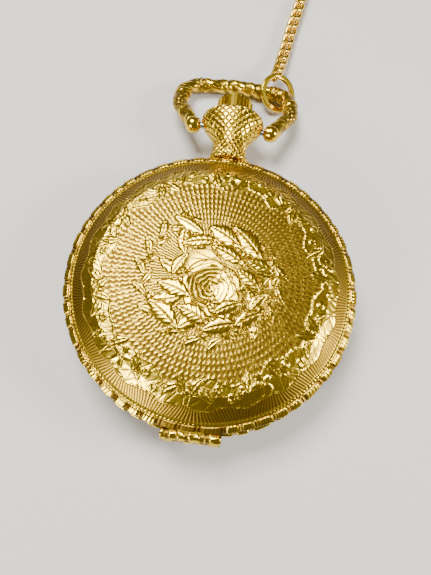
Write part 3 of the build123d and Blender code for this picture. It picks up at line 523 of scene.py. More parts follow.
def flower_shape(x, y, cx, cy, size, spin):
    """A five-petalled border flower with a bead in its middle."""
    rho = np.hypot(x - cx, y - cy)
    psi = np.arctan2(y - cy, x - cx) + spin
    reach = size * (0.72 + 0.28 * np.cos(5 * psi))
    inside = ease((reach - rho) / 0.2)
    crease = np.exp(-((np.sin(2.5 * psi) / 0.22) ** 2))
    bead = ease((0.36 - rho) / 0.16)
    height = np.maximum(inside * (0.12 + 0.07 * rho / size - 0.05 * (1 - crease)), 0.24 * bead)
    # Painted dark round the bead and at the petals' edges: tarnish and painted shade.
    dirt_and_shade = inside * np.clip(0.8 * np.exp(-(((rho - 0.42) / 0.12) ** 2)) + 0.4 * (reach - rho < 0.2), 0, 1)
    return height, dirt_and_shade, inside > 0.02


def border_pieces():
    """Where the border's flowers, leaves and scrolls stand, ten groups round the lid."""
    flowers, leaves, curls = [], [], []
    for k in range(10):
        middle = 36 * k + 14
        a = math.radians(middle)
        if k % 2 == 0:
            flowers.append((17.85 * math.cos(a), 17.85 * math.sin(a), 1.75, a))
            offsets = ((-9, 32), (9, -32), (-6, 70), (7, -75))
        else:
            leaves.append((17.6 * math.cos(a), 17.6 * math.sin(a), middle + 90, 4.2, 1.8))
            offsets = ((-8, 40), (8, -40), (-4, -60), (4, 60))
        for turn_deg, lean in offsets:
            b = math.radians(middle + turn_deg)
            r = 17.9 if abs(lean) < 50 else 16.9
            leaves.append((r * math.cos(b), r * math.sin(b), middle + turn_deg + 90 + lean, 3.3, 1.45))
        for turn_deg, r in ((-15.5, 18.5), (14.5, 17.2)):
            b = math.radians(middle + turn_deg)
            curls.append((r * math.cos(b), r * math.sin(b), 0.6))
    return flowers, leaves, curls


def lid_relief(x, y):
    """Height above the plain lid and depth of tarnish and painted shade, in mm and from 0 to 1, at each
    point.
    """
    r = np.hypot(x, y)
    turn = np.arctan2(y, x)
    phase = rays * turn + ray_sway * np.sin(math.tau * r / ray_wave)
    crest = (0.5 + 0.5 * np.cos(phase)) * (0.85 + 0.15 * np.sin(math.tau * r / ray_wave + 1.2))
    fade = ease((r - 3.0) / 3.0)
    height = 0.085 * crest * fade
    # Painted brown in the valleys between the rays: tarnish and painted shade.
    dirt_and_shade = 0.95 * (1 - crest) ** 1.3 * fade + 0.08
    up, dark, inside = rose_shape(x, y)
    height = np.where(inside, up + 0.02, height)
    dirt_and_shade = np.where(inside, dark, dirt_and_shade)
    for leaf in wreath_leaves() + big_leaves:
        up, dark, inside = leaf_shape(x, y, leaf)
        height = np.where(inside, up + 0.05, height)
        dirt_and_shade = np.where(inside, dark, dirt_and_shade)
    inner_edge = border_inner_r + 0.65 * np.sin(10 * turn + 0.6) + 0.3 * np.sin(23 * turn)
    outer_edge = border_outer_r + 0.25 * np.sin(20 * turn) + 0.12 * np.sin(47 * turn)
    ground = (r > inner_edge) & (r < outer_edge)
    rim_line = np.exp(-(((r - inner_edge) / 0.13) ** 2)) + np.exp(-(((r - outer_edge) / 0.13) ** 2))
    swirl = 0.5 + 0.5 * np.sin(9 * turn + 2.2 * r) * np.sin(31 * turn - 1.3 * r)
    slant = 1.9 * r + 2.2 * np.sin(10 * turn)
    stroke = np.exp(-((np.sin(45 * turn + slant) / 0.22) ** 2)) * ease(1.4 * swirl)
    height = np.where(ground, 0.06 + 0.03 * swirl - 0.06 * stroke, height)
    # The border's ground is painted darker in its cuts: tarnish and painted shade.
    dirt_and_shade = np.where(ground, 0.12 + 0.15 * (1 - swirl) + 0.5 * stroke, dirt_and_shade)
    height = height + 0.09 * rim_line * (r > border_from_r)
    dirt_and_shade = np.where(r > border_from_r, np.clip(dirt_and_shade - 0.4 * rim_line, 0, 1), dirt_and_shade)
    flowers, leaves, curls = border_pieces()
    near = r > border_from_r
    for leaf in leaves:
        up, dark, inside = leaf_shape(x, y, leaf)
        height = np.where(inside & near, up + 0.04, height)
        dirt_and_shade = np.where(inside & near, dark, dirt_and_shade)
    for cx, cy, size, spin in flowers:
        up, dark, inside = flower_shape(x, y, cx, cy, size, spin)
        height = np.where(inside & near, up + 0.03, height)
        dirt_and_shade = np.where(inside & near, dark, dirt_and_shade)
    for cx, cy, size in curls:
        rho = np.hypot(x - cx, y - cy)
        ring = np.exp(-(((rho - size * 0.7) / 0.13) ** 2))
        height = height + 0.12 * ring * near
        dirt_and_shade = np.clip(dirt_and_shade + (0.6 * np.exp(-((rho / 0.22) ** 2)) - 0.3 * ring) * near, 0, 1)
    return height, dirt_and_shade


def slope_relief(r, turn):
    """The steep edge of a cover: fine slanted cuts over a brown ground of tarnish and painted shade, then
    the bead line.
    """
    slant = 26 * np.sin(10 * turn) * (r - 20.6) / 20.6
    cut = 0.5 + 0.5 * np.cos(286 * turn + 6 * slant)
    height = 0.05 * cut
    dirt_and_shade = 0.92 - 0.5 * cut**3
    line = np.exp(-(((r - bead_line_r) / 0.17) ** 2))
    beads = 0.8 + 0.2 * np.cos(230 * turn)
    return height * (1 - line) + 0.2 * line * beads, dirt_and_shade * (1 - line) + 0.05 * line


def lid_surface(r):
    """Height of the plain lid, in mm, at a distance from its middle."""
    dome = lid_top_z - (dome_r - np.sqrt(dome_r**2 - np.minimum(r, slope_r) ** 2))
    fall = (slope_z - slope_foot_z) / (slope_foot_r - slope_r)
    return dome - np.clip(r - slope_r, 0, slope_foot_r - slope_r) * fall


medallion_r = 9.6
medallion = turned("lid_medallion", [(0, 1, 112), (medallion_r, 1, 0), (medallion_r, 0, 2), (0, 0, 0)], 720)
field = turned(
    "lid_field",
    [(medallion_r, 0, 0), (medallion_r, 1, 88), (slope_r, 1, 0), (slope_r, 0, 1), (medallion_r, 0, 0)],
    960,
)
for piece in (medallion, field):
    points = points_of(piece)
    r = np.hypot(points[:, 0], points[:, 1])
    outer = points[:, 2] > 0.5
    height, dirt_and_shade = lid_relief(points[:, 0], points[:, 1])
    points[:, 2] = lid_surface(r) + np.where(outer, skin_lift + height, -0.2)
    chase(piece, points, dirt_and_shade)
    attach(piece, "lid")

edge = turned(
    "lid_edge",
    [
        (slope_r, slope_z, 34),
        (slope_foot_r, slope_foot_z, 5),
        (22.25, 9.17, 6),
        (22.92, 8.86, 3),
        (22.92, 8.5, 3),
        (22.6, 8.29, 0),
        (22.2, 8.6, 1),
        (slope_foot_r - 0.2, slope_foot_z - 0.35, 1),
        (slope_r, slope_z - 0.3, 0),
        (slope_r, slope_z, 0),
    ],
    1080,
)
points = points_of(edge)
r = np.hypot(points[:, 0], points[:, 1])
turn = np.arctan2(points[:, 1], points[:, 0])
on_slope = (np.abs(points[:, 2] - lid_surface(r)) < 0.05) & (r < 22.0)
on_rim = (r >= 22.0) & (points[:, 2] < 9.3) & ~((r < 22.22) & (points[:, 2] < 8.7))
height, dirt_and_shade = lid_relief(points[:, 0], points[:, 1])
steep_height, steep_dirt_and_shade = slope_relief(r, turn)
past = ease((r - 19.7 - 0.25 * np.sin(20 * turn)) / 0.2)
height = height * (1 - past) + steep_height * past
dirt_and_shade = dirt_and_shade * (1 - past) + steep_dirt_and_shade * past
lean_r, lean_z = 0.53, 0.85
core_r, core_z = 22.2, 8.72
out_r = r - core_r
out_z = points[:, 2] - core_z
out_len = np.maximum(np.hypot(out_r, out_z), 1e-6)
lumps = leaf_row(turn, 50, 1.3)
crease = 0.5 + 0.5 * np.cos(turn * 250 + 6 * (r + points[:, 2]))
rim_up = (0.02 + 0.26 * lumps * (0.75 + 0.25 * crease)) * ease((r - 22.0) / 0.25)
rim_up = rim_up * np.clip((points[:, 2] - 8.25) / 0.2, 0, 1)
new_r = r.copy()
new_z = points[:, 2].copy()
turned_out = ease((r - slope_r) / 0.7)
new_r[on_slope] += (lean_r * turned_out * (skin_lift + height))[on_slope]
new_z[on_slope] += ((1 - (1 - lean_z) * turned_out) * (skin_lift + height))[on_slope]
new_r[on_rim] += (out_r / out_len * rim_up)[on_rim]
new_z[on_rim] += (np.abs(out_z) / out_len * rim_up * np.sign(out_z))[on_rim]
points[:, 0] *= new_r / r
points[:, 1] *= new_r / r
points[:, 2] = new_z
# The rim is painted dark between its lumps and creases: tarnish and painted shade.
dirt_and_shade = np.where(on_rim, 0.9 - 1.0 * lumps + 0.25 * (1 - crease), dirt_and_shade)
chase(edge, points, dirt_and_shade)
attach(edge, "lid")

# Back cover: a plain polished disc to stand on, with engine-turned rays round it and the
# same steep edge and rim of leaves as the lid, on the other side of the case.
rest_r = 12.5
back_core_z = 3.88
back = turned(
    "back_field",
    [
        (0, 0, 3),
        (rest_r, 0, 56),
        (slope_r, 1.0, 24),
        (slope_foot_r, 3.35, 5),
        (22.25, 3.43, 6),
        (22.92, 3.74, 3),
        (22.92, 4.1, 3),
        (22.6, 4.31, 0),
        (22.2, 4.0, 1),
        (slope_foot_r - 0.2, 3.7, 1),
        (slope_r, 1.3, 2),
        (rest_r, 0.2, 0),
        (0, 0.2, 0),
    ],
    840,
)
points = points_of(back)
r = np.hypot(points[:, 0], points[:, 1])
turn = np.arctan2(points[:, 1], points[:, 0])
flat_side = (r <= rest_r + 0.01) & (points[:, 2] < 0.1)
bend = (r > rest_r) & (r < slope_r) & (points[:, 2] < 0.06 + (r - rest_r) / (slope_r - rest_r) + 0.001)
share = np.clip((r - rest_r) / (slope_r - rest_r), 0, 1)
bent_z = share**2 * 1.0
steep = (r >= slope_r) & (r < 22.0) & (np.abs(points[:, 2] - (1.0 + (r - slope_r) * 2.35 / 3.5)) < 0.06)
on_rim = (r >= 22.0) & (points[:, 2] > 3.2) & ~((r < 22.22) & (points[:, 2] > 3.8))
phase = rays * turn + ray_sway * np.sin(math.tau * r / ray_wave)
crest = 0.5 + 0.5 * np.cos(phase)
frame_line = np.exp(-(((r - rest_r - 0.5) / 0.18) ** 2)) + np.exp(-(((r - 17.6) / 0.2) ** 2))
ray_share = ease((r - rest_r - 0.6) / 0.4)
height = skin_lift + 0.06 * crest * ray_share + 0.09 * frame_line
# Painted brown in the valleys between the rays: tarnish and painted shade.
dirt_and_shade = 0.6 * (1 - crest) ** 1.4 * ray_share * (1 - np.clip(frame_line, 0, 1)) + 0.05
steep_height, steep_dirt_and_shade = slope_relief(r, turn)
new_r = r.copy()
new_z = points[:, 2].copy()
new_z[flat_side] -= 0.02
new_z[bend] = (bent_z - height)[bend]
new_r[steep] += (0.55 * (skin_lift + steep_height))[steep]
new_z[steep] -= (0.83 * (skin_lift + steep_height))[steep]
dirt_and_shade = np.where(steep, steep_dirt_and_shade, dirt_and_shade)
out_r = r - core_r
out_z = points[:, 2] - back_core_z
out_len = np.maximum(np.hypot(out_r, out_z), 1e-6)
lumps = leaf_row(turn, 50, 4.2)
rim_up = (0.02 + 0.34 * lumps) * ease((r - 22.0) / 0.25) * np.clip((4.35 - points[:, 2]) / 0.2, 0, 1)
new_r[on_rim] += (out_r / out_len * rim_up)[on_rim]
new_z[on_rim] += (out_z / out_len * rim_up)[on_rim]
# The rim is painted dark between its lumps: tarnish and painted shade.
dirt_and_shade = np.where(on_rim, 0.9 - lumps, dirt_and_shade)
safe_r = np.maximum(r, 1e-6)
points[:, 0] *= new_r / safe_r
points[:, 1] *= new_r / safe_r
points[:, 2] = new_z
chase(back, points, dirt_and_shade)
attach(back, "back")

# Pendant: a cast brass neck, soldered to the band and gilt with it. Its outside is cut
# in a lattice that leaves raised lozenges. The stem runs through it, into the crown's cup.
stem_z = 6.3
pendant_foot_y = 23.45
pendant_lip_y = 33.35
lozenges_round = 18
lozenge_length = 1.3


def sleeve_grid(name, rows, sides):
    """A flat grid to wrap round a part, with each point's share of the way along and of the way round."""
    bpy.ops.object.select_all(action="DESELECT")
    bpy.ops.mesh.primitive_grid_add(x_subdivisions=rows, y_subdivisions=sides, size=1)
    piece = bpy.context.object
    piece.name = name
    piece.data.name = name
    flat = points_of(piece) * mm
    return piece, flat[:, 0] + 0.5, flat[:, 1] + 0.5


def close_sleeve(piece, points, capped):
    """Wraps the grid: its points move, its seam is joined, and its ends are closed if it is capped."""
    piece.data.vertices.foreach_set("co", (points * mm).reshape(-1))
    piece.data.update()
    bpy.ops.object.select_all(action="DESELECT")
    piece.select_set(True)
    bpy.context.view_layer.objects.active = piece
    bpy.ops.object.mode_set(mode="EDIT")
    bpy.ops.mesh.select_all(action="SELECT")
    bpy.ops.mesh.remove_doubles(threshold=1e-7)
    if capped:
        bpy.ops.mesh.select_all(action="DESELECT")
        bpy.ops.mesh.select_non_manifold()
        bpy.ops.mesh.edge_face_add()
        bpy.ops.mesh.select_all(action="SELECT")
    bpy.ops.mesh.normals_make_consistent(inside=False)
    bpy.ops.object.mode_set(mode="OBJECT")


pendant_skin, along, around = sleeve_grid("pendant_skin", 150, 312)
along = pendant_foot_y + along * (pendant_lip_y - pendant_foot_y)
around = around * math.tau
wide = np.stack([8 * np.cos(around), along, stem_z + 8 * np.sin(around)], 1)
close_sleeve(pendant_skin, wide, capped=False)
cast = BVHTree.FromObject(frame["nodes"]["pendant"], bpy.context.evaluated_depsgraph_get())
points = points_of(pendant_skin)
reach = np.zeros(len(points))
for k, (x, y, z) in enumerate(points):
    inward = Vector((-x, 0, stem_z - z)).normalized()
    hit = cast.ray_cast(Vector((x, y, z)) * mm, inward)[3]
    reach[k] = 8 - (hit / mm if hit is not None else 8 - 3.0)
round_angle = np.arctan2(points[:, 2] - stem_z, points[:, 0])
steps_up = points[:, 1] / lozenge_length
steps_round = round_angle / math.tau * lozenges_round
diagonal_a = np.abs((steps_up + steps_round) % 1 - 0.5)
diagonal_b = np.abs((steps_up - steps_round) % 1 - 0.5)
cell = 0.5 - np.maximum(diagonal_a, diagonal_b)
raised = ease(cell / 0.17)
ends = ease((points[:, 1] - pendant_foot_y) / 0.5) * ease((pendant_lip_y - points[:, 1]) / 0.35)
grow = 0.05 + 0.15 * raised * ends + 0.05 * cell * ends
outer = reach + grow
points[:, 0] = outer * np.cos(round_angle)
points[:, 2] = stem_z + outer * np.sin(round_angle)
# Painted dark in the cuts between the lozenges: tarnish and painted shade.
chase(pendant_skin, points, (0.8 - 0.95 * raised) * ends, smooth_deg=60)
wall = pendant_skin.modifiers.new("wall", "SOLIDIFY")
wall.thickness = 0.22 * mm
wall.offset = -1
bpy.ops.object.modifier_apply(modifier="wall")
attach(pendant_skin, "case_body")

# Hinges: tubes of the same brass at the foot of the case. The middle ones are soldered to
# the covers and the outer ones to the band, cut with the rim's leaves and gilt with it.
hinge_y = -23.45
lid_hinge_z = 8.225
back_hinge_z = 4.375
knuckle_end = 1.98
band_knuckle = (2.02, 4.5)
sleeve_r = 0.73
lump_height = 0.13
for name, ends, height, body, seed in (
    ("lid_knuckle", (-knuckle_end, knuckle_end), lid_hinge_z, "lid", 0.2),
    ("lid_hinge_left", (-band_knuckle[1], -band_knuckle[0]), lid_hinge_z, "case_body", 0.5),
    ("lid_hinge_right", band_knuckle, lid_hinge_z, "case_body", 0.8),
    ("back_knuckle", (-knuckle_end, knuckle_end), back_hinge_z, "back", 0.6),
    ("back_hinge_left", (-band_knuckle[1], -band_knuckle[0]), back_hinge_z, "case_body", 0.1),
    ("back_hinge_right", band_knuckle, back_hinge_z, "case_body", 0.9),
):
    sleeve, along, around = sleeve_grid(name, 60, 48)
    x = ends[0] + along * (ends[1] - ends[0])
    phi = around * math.tau
    share = (x / 2.2 + 0.08 * np.cos(phi) + seed) % 1
    lump = ease(np.minimum(share, 0.84 - share) / 0.14)
    lump *= 0.8 + 0.2 * np.cos(5 * phi + 3 * x)
    lump *= ease(np.minimum(along, 1 - along) / 0.06)
    tube = sleeve_r + lump_height * lump
    wrapped = np.stack([x, hinge_y + tube * np.cos(phi), height + tube * np.sin(phi)], 1)
    close_sleeve(sleeve, wrapped, capped=True)
    points = points_of(sleeve)
    tube = np.hypot(points[:, 1] - hinge_y, points[:, 2] - height)
    # Painted darker between the lumps: tarnish and painted shade.
    chase(sleeve, points, 0.85 - (tube - sleeve_r) / lump_height)
    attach(sleeve, body)

# Winding crown: turned brass with thirty milled flutes to grip, a rounded end, gilt.
# The flutes themselves are on the made part; the hollows between them, short of the rounded end, are painted
# brown: tarnish and painted shade.
crown_dirt_and_shade, tree, shader = finish_of("gold plate over fluted brass", Metallic=1.0)
place = node(tree, "ShaderNodeTexCoord")
parts = node(tree, "ShaderNodeSeparateXYZ", Vector=place.outputs["Object"])
level = node(tree, "ShaderNodeMath", {"operation": "SUBTRACT"}, i0=parts.outputs["Z"], i1=stem_z * mm)
spoke = node(tree, "ShaderNodeCombineXYZ", X=parts.outputs["X"], Z=level.outputs[0])
radius = node(tree, "ShaderNodeVectorMath", {"operation": "LENGTH"}, i0=spoke.outputs[0])
hollow = node(
    tree,
    "ShaderNodeMapRange",
    Value=radius.outputs["Value"],
    From_Min=2.94 * mm,
    From_Max=3.2 * mm,
    To_Min=0.75,
    To_Max=0.0,
)
lower = node(
    tree,
    "ShaderNodeMapRange",
    Value=parts.outputs["Y"],
    From_Min=36.2 * mm,
    From_Max=36.5 * mm,
    To_Min=1.0,
    To_Max=0.0,
)
# Painted brown in the flutes' hollows, short of the rounded end: tarnish and painted shade.
grime_and_shade = node(tree, "ShaderNodeMath", {"operation": "MULTIPLY"}, i0=hollow.outputs[0], i1=lower.outputs[0])
tone = two_tones(grime_and_shade.outputs[0], linear("F5D438"), linear("563614"))
feed(shader, Base_Color=tone)
shine = spread(grime_and_shade.outputs[0], 0.2, 0.4)
feed(shader, Roughness=shine)
crown_mesh = frame["nodes"]["winding_crown"].data
crown_mesh.materials.clear()
crown_mesh.materials.append(crown_dirt_and_shade)

# Bow: a cast stirrup that hangs on two pins in the pendant's ears. It is chased in
# leaf scrolls with clusters of beads, thickest at its corners, with a ball knob at each foot.
pivot_y = 30.9
bow_tube_r = 1.3
bar_reach = 14.2
bow_drop = math.asin((stem_z - bow_tube_r - 0.1) / bar_reach)
knob_x = 7.1
knob_r = 1.5
bow_corners = [(7.1, 0.0), (10.6, 6.3), (9.9, 12.9), (0.0, bar_reach)]
bow_fillets = [2.6, 3.6, 6.0, 3.6, 2.6]
outline = [(-x, v) for x, v in bow_corners] + [(x, v) for x, v in reversed(bow_corners[:-1])]


def rounded_path(corners, fillets, spacing):
    """Points at an even spacing along straight runs joined by arcs."""
    corners = [Vector(c) for c in corners]
    dense = [corners[0]]
    for k, radius in enumerate(fillets, start=1):
        into = (corners[k] - corners[k - 1]).normalized()
        away = (corners[k + 1] - corners[k]).normalized()
        bend = into.angle(away)
        reach = radius * math.tan(bend / 2)
        start = corners[k] - into * reach
        side = Vector((-into.y, into.x))
        if side.dot(away) < 0:
            side = -side
        middle = start + side * radius
        for part in np.linspace(0, bend, 24):
            dense.append(middle + into * radius * math.sin(part) - side * radius * math.cos(part))
    dense.append(corners[-1])
    dense = np.array([list(p) for p in dense])
    far = np.concatenate([[0], np.cumsum(np.hypot(*np.diff(dense, axis=0).T))])
    even = np.linspace(0, far[-1], int(far[-1] / spacing))
    return np.stack([np.interp(even, far, dense[:, 0]), np.interp(even, far, dense[:, 1])], 1), even


path, far = rounded_path(outline, bow_fillets, 0.11)
sides = 64
bow, along, around = sleeve_grid("bow_chased", len(path) - 1, sides)
row = np.rint(along * (len(path) - 1)).astype(int)
phi = around * math.tau
tangent = np.gradient(path, axis=0)
tangent /= np.hypot(*tangent.T)[:, None]
sideways = np.stack([tangent[:, 1], -tangent[:, 0]], 1)
total = far[-1]
from_foot = np.minimum(far, total - far)[row]
away = far[row]
bulge = 0.22 * np.exp(-(((from_foot - 10.2) / 2.0) ** 2)) + 0.12 * np.exp(-(((from_foot - 15.6) / 1.3) ** 2))
scroll = away / 2.6 * math.tau
lobe = 0.5 + 0.5 * np.sin(scroll + 2 * phi + 1.2 * np.sin(scroll * 0.5))
stem_line = 0.5 + 0.5 * np.cos(3 * phi - away * 1.9 + 1.5 * np.sin(away * 0.9))
bead_along = np.abs((away / 0.8) % 1 - 0.5)
bead_round = np.abs((phi / math.tau * 9 + 0.5 * np.floor(away / 0.8)) % 1 - 0.5)
beads = ease(1 - np.hypot(bead_along, bead_round) / 0.42)
bead_zone = np.exp(-(((from_foot - 6.2) / 2.3) ** 2)) + np.exp(-(((from_foot - 15.4) / 1.2) ** 2))
bead_zone = np.clip(bead_zone, 0, 1)
chasing = (1 - bead_zone) * (0.17 * ease(lobe * 1.3 - 0.2) + 0.07 * stem_line) + 0.2 * beads * bead_zone
tube = bow_tube_r - 0.1 + bulge + chasing
flat_x = path[row, 0] + sideways[row, 0] * tube * np.cos(phi)
flat_v = path[row, 1] + sideways[row, 1] * tube * np.cos(phi)
lift = tube * np.sin(phi)
drop_sin, drop_cos = math.sin(bow_drop), math.cos(bow_drop)


def on_bow_plane(x, v, w):
    """Points of the bow, laid out flat, moved to where it hangs: x, reach from the pivot, and height."""
    return np.stack([x, pivot_y + v * drop_cos + w * drop_sin, stem_z - v * drop_sin + w * drop_cos], 1)


points = on_bow_plane(flat_x, flat_v, lift)
close_sleeve(bow, points, capped=True)
# Painted dark where the chasing lies low: tarnish and painted shade.
bow_dirt_and_shade = dict(zip(map(tuple, np.round(points, 4)), 0.85 - 4.2 * chasing))
points = points_of(bow)
chase(bow, points, np.array([bow_dirt_and_shade.get(tuple(p), 0.3) for p in np.round(points, 4)]), smooth_deg=60)
knobs = []
for side in (-1, 1):
    bpy.ops.object.select_all(action="DESELECT")
    bpy.ops.mesh.primitive_uv_sphere_add(
        segments=64, ring_count=32, radius=knob_r * mm, rotation=(0, math.pi / 2, 0)
    )
    knob = bpy.context.object
    at_rest(knob)
    knob_points = points_of(knob)
    outward = knob_points[:, 0] * side
    knob_points[:, 0] = side * np.where(outward > 1.15, 1.15 + 0.35 * (outward - 1.15), outward)
    collar = np.exp(-(((outward + 0.95) / 0.2) ** 2))
    knob_points[:, 1:] *= (1 + 0.12 * collar)[:, None]
    knob_points = knob_points + np.array([side * knob_x, pivot_y, stem_z])
    # The collar on each knob's inner side is painted slightly darker: tarnish and painted shade.
    chase(knob, knob_points, 0.3 * collar, smooth_deg=60)
    knobs.append(knob)
bow_knobs = join_as("bow_knobs", knobs)
for piece in (bow, bow_knobs):
    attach(piece, "bow_body")
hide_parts("bow")

# Jump ring: a ring of flattened wire, bent round the bow with its ends butted, gilt like
# the chain. It is worn bright on its flats.
ring_centre = np.array([7.81, 43.37, 2.1])
ring_normal = Vector((0.416, -0.309, 0.855))
ring_mean_r = 3.2
bpy.ops.object.select_all(action="DESELECT")
bpy.ops.mesh.primitive_torus_add(
    major_radius=ring_mean_r * mm,
    minor_radius=0.5 * mm,
    major_segments=128,
    minor_segments=28,
    rotation=ring_normal.to_track_quat("Z", "Y").to_euler(),
)
ring = bpy.context.object
ring.name = "jump_ring_wire"
ring.data.name = "jump_ring_wire"
flat_points = points_of(ring)
flat_r = np.hypot(flat_points[:, 0], flat_points[:, 1])
wider = (ring_mean_r + (flat_r - ring_mean_r) * 1.1) / flat_r
flat_points[:, 0] *= wider
flat_points[:, 1] *= wider
flat_points[:, 2] = np.clip(flat_points[:, 2] * 0.95, -0.36, 0.36)
ring.data.vertices.foreach_set("co", (flat_points * mm).reshape(-1))
at_rest(ring)
chase(ring, points_of(ring) + ring_centre, np.full(len(flat_points), 0.1), smooth_deg=60)
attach(ring, "ring_body")
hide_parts("jump_ring")

# Chain: a curb chain of gilt wire links, each twisted so that the chain lies nearly flat.
# Its first link holds the jump ring. The length that isn't laid out is wound into a coil.
chain_gold, tree, shader = finish_of("gold plate over drawn wire", Metallic=1.0)
rubbed = grain(1.5, 3.0)
tone = two_tones(rubbed, linear("F5D456"), linear("E2B63E"))
shine = spread(rubbed, 0.18, 0.3)
feed(shader, Base_Color=tone, Roughness=shine)
give_finish("chain_gold", chain_gold)
chain_width = 2.6
wire_r = 0.43
link_pitch = 2.2
rest_z = chain_width / 2 + 0.02
coil_middle = (27.0, 91.5)
coil_outer_r = 15.4
coil_inner_r = 12.9
coil_turns = 3.26
upper_z = 3.7
route = [
    (7.3, 47.4, 3.0),
    (7.8, 50.5, 2.0),
    (8.5, 54.8, rest_z),
    (9.3, 60.6, rest_z),
    (10.6, 67.6, rest_z),
    (11.6, 74.8, rest_z),
    (11.3, 81.0, rest_z),
    (11.4, 86.0, rest_z),
]
turn_steps = 20
for k in range(int(coil_turns * turn_steps) + 1):
    done = k / turn_steps
    inward = ease(np.array((done - 0.68) / 0.22)) - ease(np.array((done - 2.45) / 0.2))
    radius = coil_outer_r - (coil_outer_r - coil_inner_r) * float(inward)
    raised = ease(np.array((done - 1.58) / 0.2)) - 0.35 * np.exp(-(((done - 2.86) / 0.07) ** 2))
    angle = math.pi - math.tau * done
    route.append(
        (
            coil_middle[0] + radius * math.cos(angle),
            coil_middle[1] + radius * math.sin(angle),
            rest_z + (upper_z - rest_z) * float(raised),
        )
    )
route += [(41.2, 101.9, 3.3), (43.9, 98.6, 2.2), (45.5, 95.9, rest_z + 0.03), (46.7, 93.3, rest_z + 0.03)]
bpy.ops.object.select_all(action="DESELECT")
line = bpy.data.curves.new("chain_line", "CURVE")
line.dimensions = "3D"
line.resolution_u = 12
spline = line.splines.new("NURBS")
spline.points.add(len(route) - 1)
for point, where in zip(spline.points, route):
    point.co = (*(Vector(where) * mm), 1)
spline.order_u = 3
spline.use_endpoint_u = True
line_object = bpy.data.objects.new("chain_line", line)
bpy.context.scene.collection.objects.link(line_object)
line_mesh = bpy.data.meshes.new_from_object(line_object)
way = np.empty(len(line_mesh.vertices) * 3)
line_mesh.vertices.foreach_get("co", way)
way = way.reshape(-1, 3) / mm
bpy.data.objects.remove(line_object)
bpy.data.meshes.remove(line_mesh)
gone = np.concatenate([[0], np.cumsum(np.linalg.norm(np.diff(way, axis=0), axis=1))])
chain_length = gone[-1]


def along_chain(s):
    """A point of the chain's middle line, in mm, at a distance from its start."""
    if s < 0:
        return way[0] + (way[1] - way[0]) / np.linalg.norm(way[1] - way[0]) * s
    return np.array([np.interp(s, gone, way[:, k]) for k in range(3)])


def wire_link(steps, sides):
    """One link at the origin along x: an oval of round wire, twisted a quarter turn end to end."""
    half_length = (link_pitch + 2.15 * wire_r) / 2
    half_width = chain_width / 2 - wire_r
    turn = np.linspace(0, math.tau, steps, endpoint=False)
    twist = 0.72 * np.cos(turn)
    x = half_length * np.cos(turn)
    flat = half_width * np.sign(np.sin(turn)) * np.abs(np.sin(turn)) ** 0.8
    middle = np.stack([x, flat * np.cos(twist), flat * np.sin(twist)], 1)
    forward = np.roll(middle, -1, 0) - np.roll(middle, 1, 0)
    forward /= np.linalg.norm(forward, axis=1)[:, None]
    out = middle - (middle * forward).sum(1)[:, None] * forward
    out /= np.maximum(np.linalg.norm(out, axis=1), 1e-9)[:, None]
    side = np.cross(forward, out)
    phi = np.linspace(0, math.tau, sides, endpoint=False)
    ring = out[:, None] * np.cos(phi)[None, :, None] + side[:, None] * np.sin(phi)[None, :, None]
    points = (middle[:, None] + wire_r * ring).reshape(-1, 3)
    faces = []
    for i in range(steps):
        for k in range(sides):
            n, m = (i + 1) % steps, (k + 1) % sides
            faces.append((i * sides + k, i * sides + m, n * sides + m, n * sides + k))
    return points, faces


chain_points, chain_faces = [], []
base = 0
link_starts = np.arange(-0.55, chain_length + 0.2, link_pitch)
for k, s in enumerate(link_starts):
    fine = s < 36
    shape, faces = wire_link(28, 10) if fine else wire_link(12, 4)
    ahead = along_chain(s + 0.8) - along_chain(max(s - 0.8, -0.5))
    ahead /= np.linalg.norm(ahead)
    across = np.cross((0, 0, 1), ahead)
    across /= np.linalg.norm(across)
    upward = np.cross(ahead, across)
    roll = (0.35 * math.sin(s / 6.0) - 0.35) if fine else 0.15 * math.sin(s / 9.0)
    left = across * math.cos(roll) + upward * math.sin(roll)
    top = np.cross(ahead, left)
    chain_points.append(along_chain(s) + shape[:, :1] * ahead + shape[:, 1:2] * left + shape[:, 2:] * top)
    chain_faces += [tuple(v + base for v in face) for face in faces]
    base += len(shape)
mesh = bpy.data.meshes.new("curb_chain")
mesh.from_pydata((np.concatenate(chain_points) * mm).tolist(), [], chain_faces)
chain = bpy.data.objects.new("curb_chain", mesh)
bpy.context.scene.collection.objects.link(chain)
chain.select_set(True)
bpy.context.view_layer.objects.active = chain
bpy.ops.object.mode_set(mode="EDIT")
bpy.ops.mesh.select_all(action="SELECT")
bpy.ops.mesh.normals_make_consistent(inside=False)
bpy.ops.object.mode_set(mode="OBJECT")
bpy.ops.object.shade_smooth()
mesh.materials.append(chain_gold)
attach(chain, "ring_body")
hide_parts("chain_run", "chain_coil")

# Coil tie: a narrow strap of black grosgrain ribbon, passed round the coil and stitched,
# which keeps the put-away chain together.
ribbon, tree, shader = finish_of("grosgrain ribbon, woven", Roughness=0.8, Sheen_Weight=0.3)
place = node(tree, "ShaderNodeTexCoord")
turned_place = node(
    tree, "ShaderNodeMapping", Vector=place.outputs["Object"], Rotation=(0, 0, math.radians(-60))
)
ribs = node(
    tree,
    "ShaderNodeTexWave",
    {"bands_direction": "X"},
    Vector=turned_place.outputs["Vector"],
    Scale=0.314 / (0.35 * mm),
)
threads = two_tones(ribs.outputs["Fac"], linear("15130F"), linear("3A352E"))
rise = node(tree, "ShaderNodeBump", Strength=0.6, Distance=0.06 * mm, Height=ribs.outputs["Fac"])
feed(shader, Base_Color=threads, Normal=rise.outputs["Normal"])
coil_mid_r = 14.3
coil_half_width = 2.9
strap_inner = coil_mid_r - coil_half_width - 0.25
strap_outer = coil_mid_r + coil_half_width + 0.2
strap_top = 5.28
strap_low = 0.12
strap_width = 2.2
squareness = 0.4
tie, across, around = sleeve_grid("coil_ribbon", 10, 96)
across = (across - 0.5) * strap_width
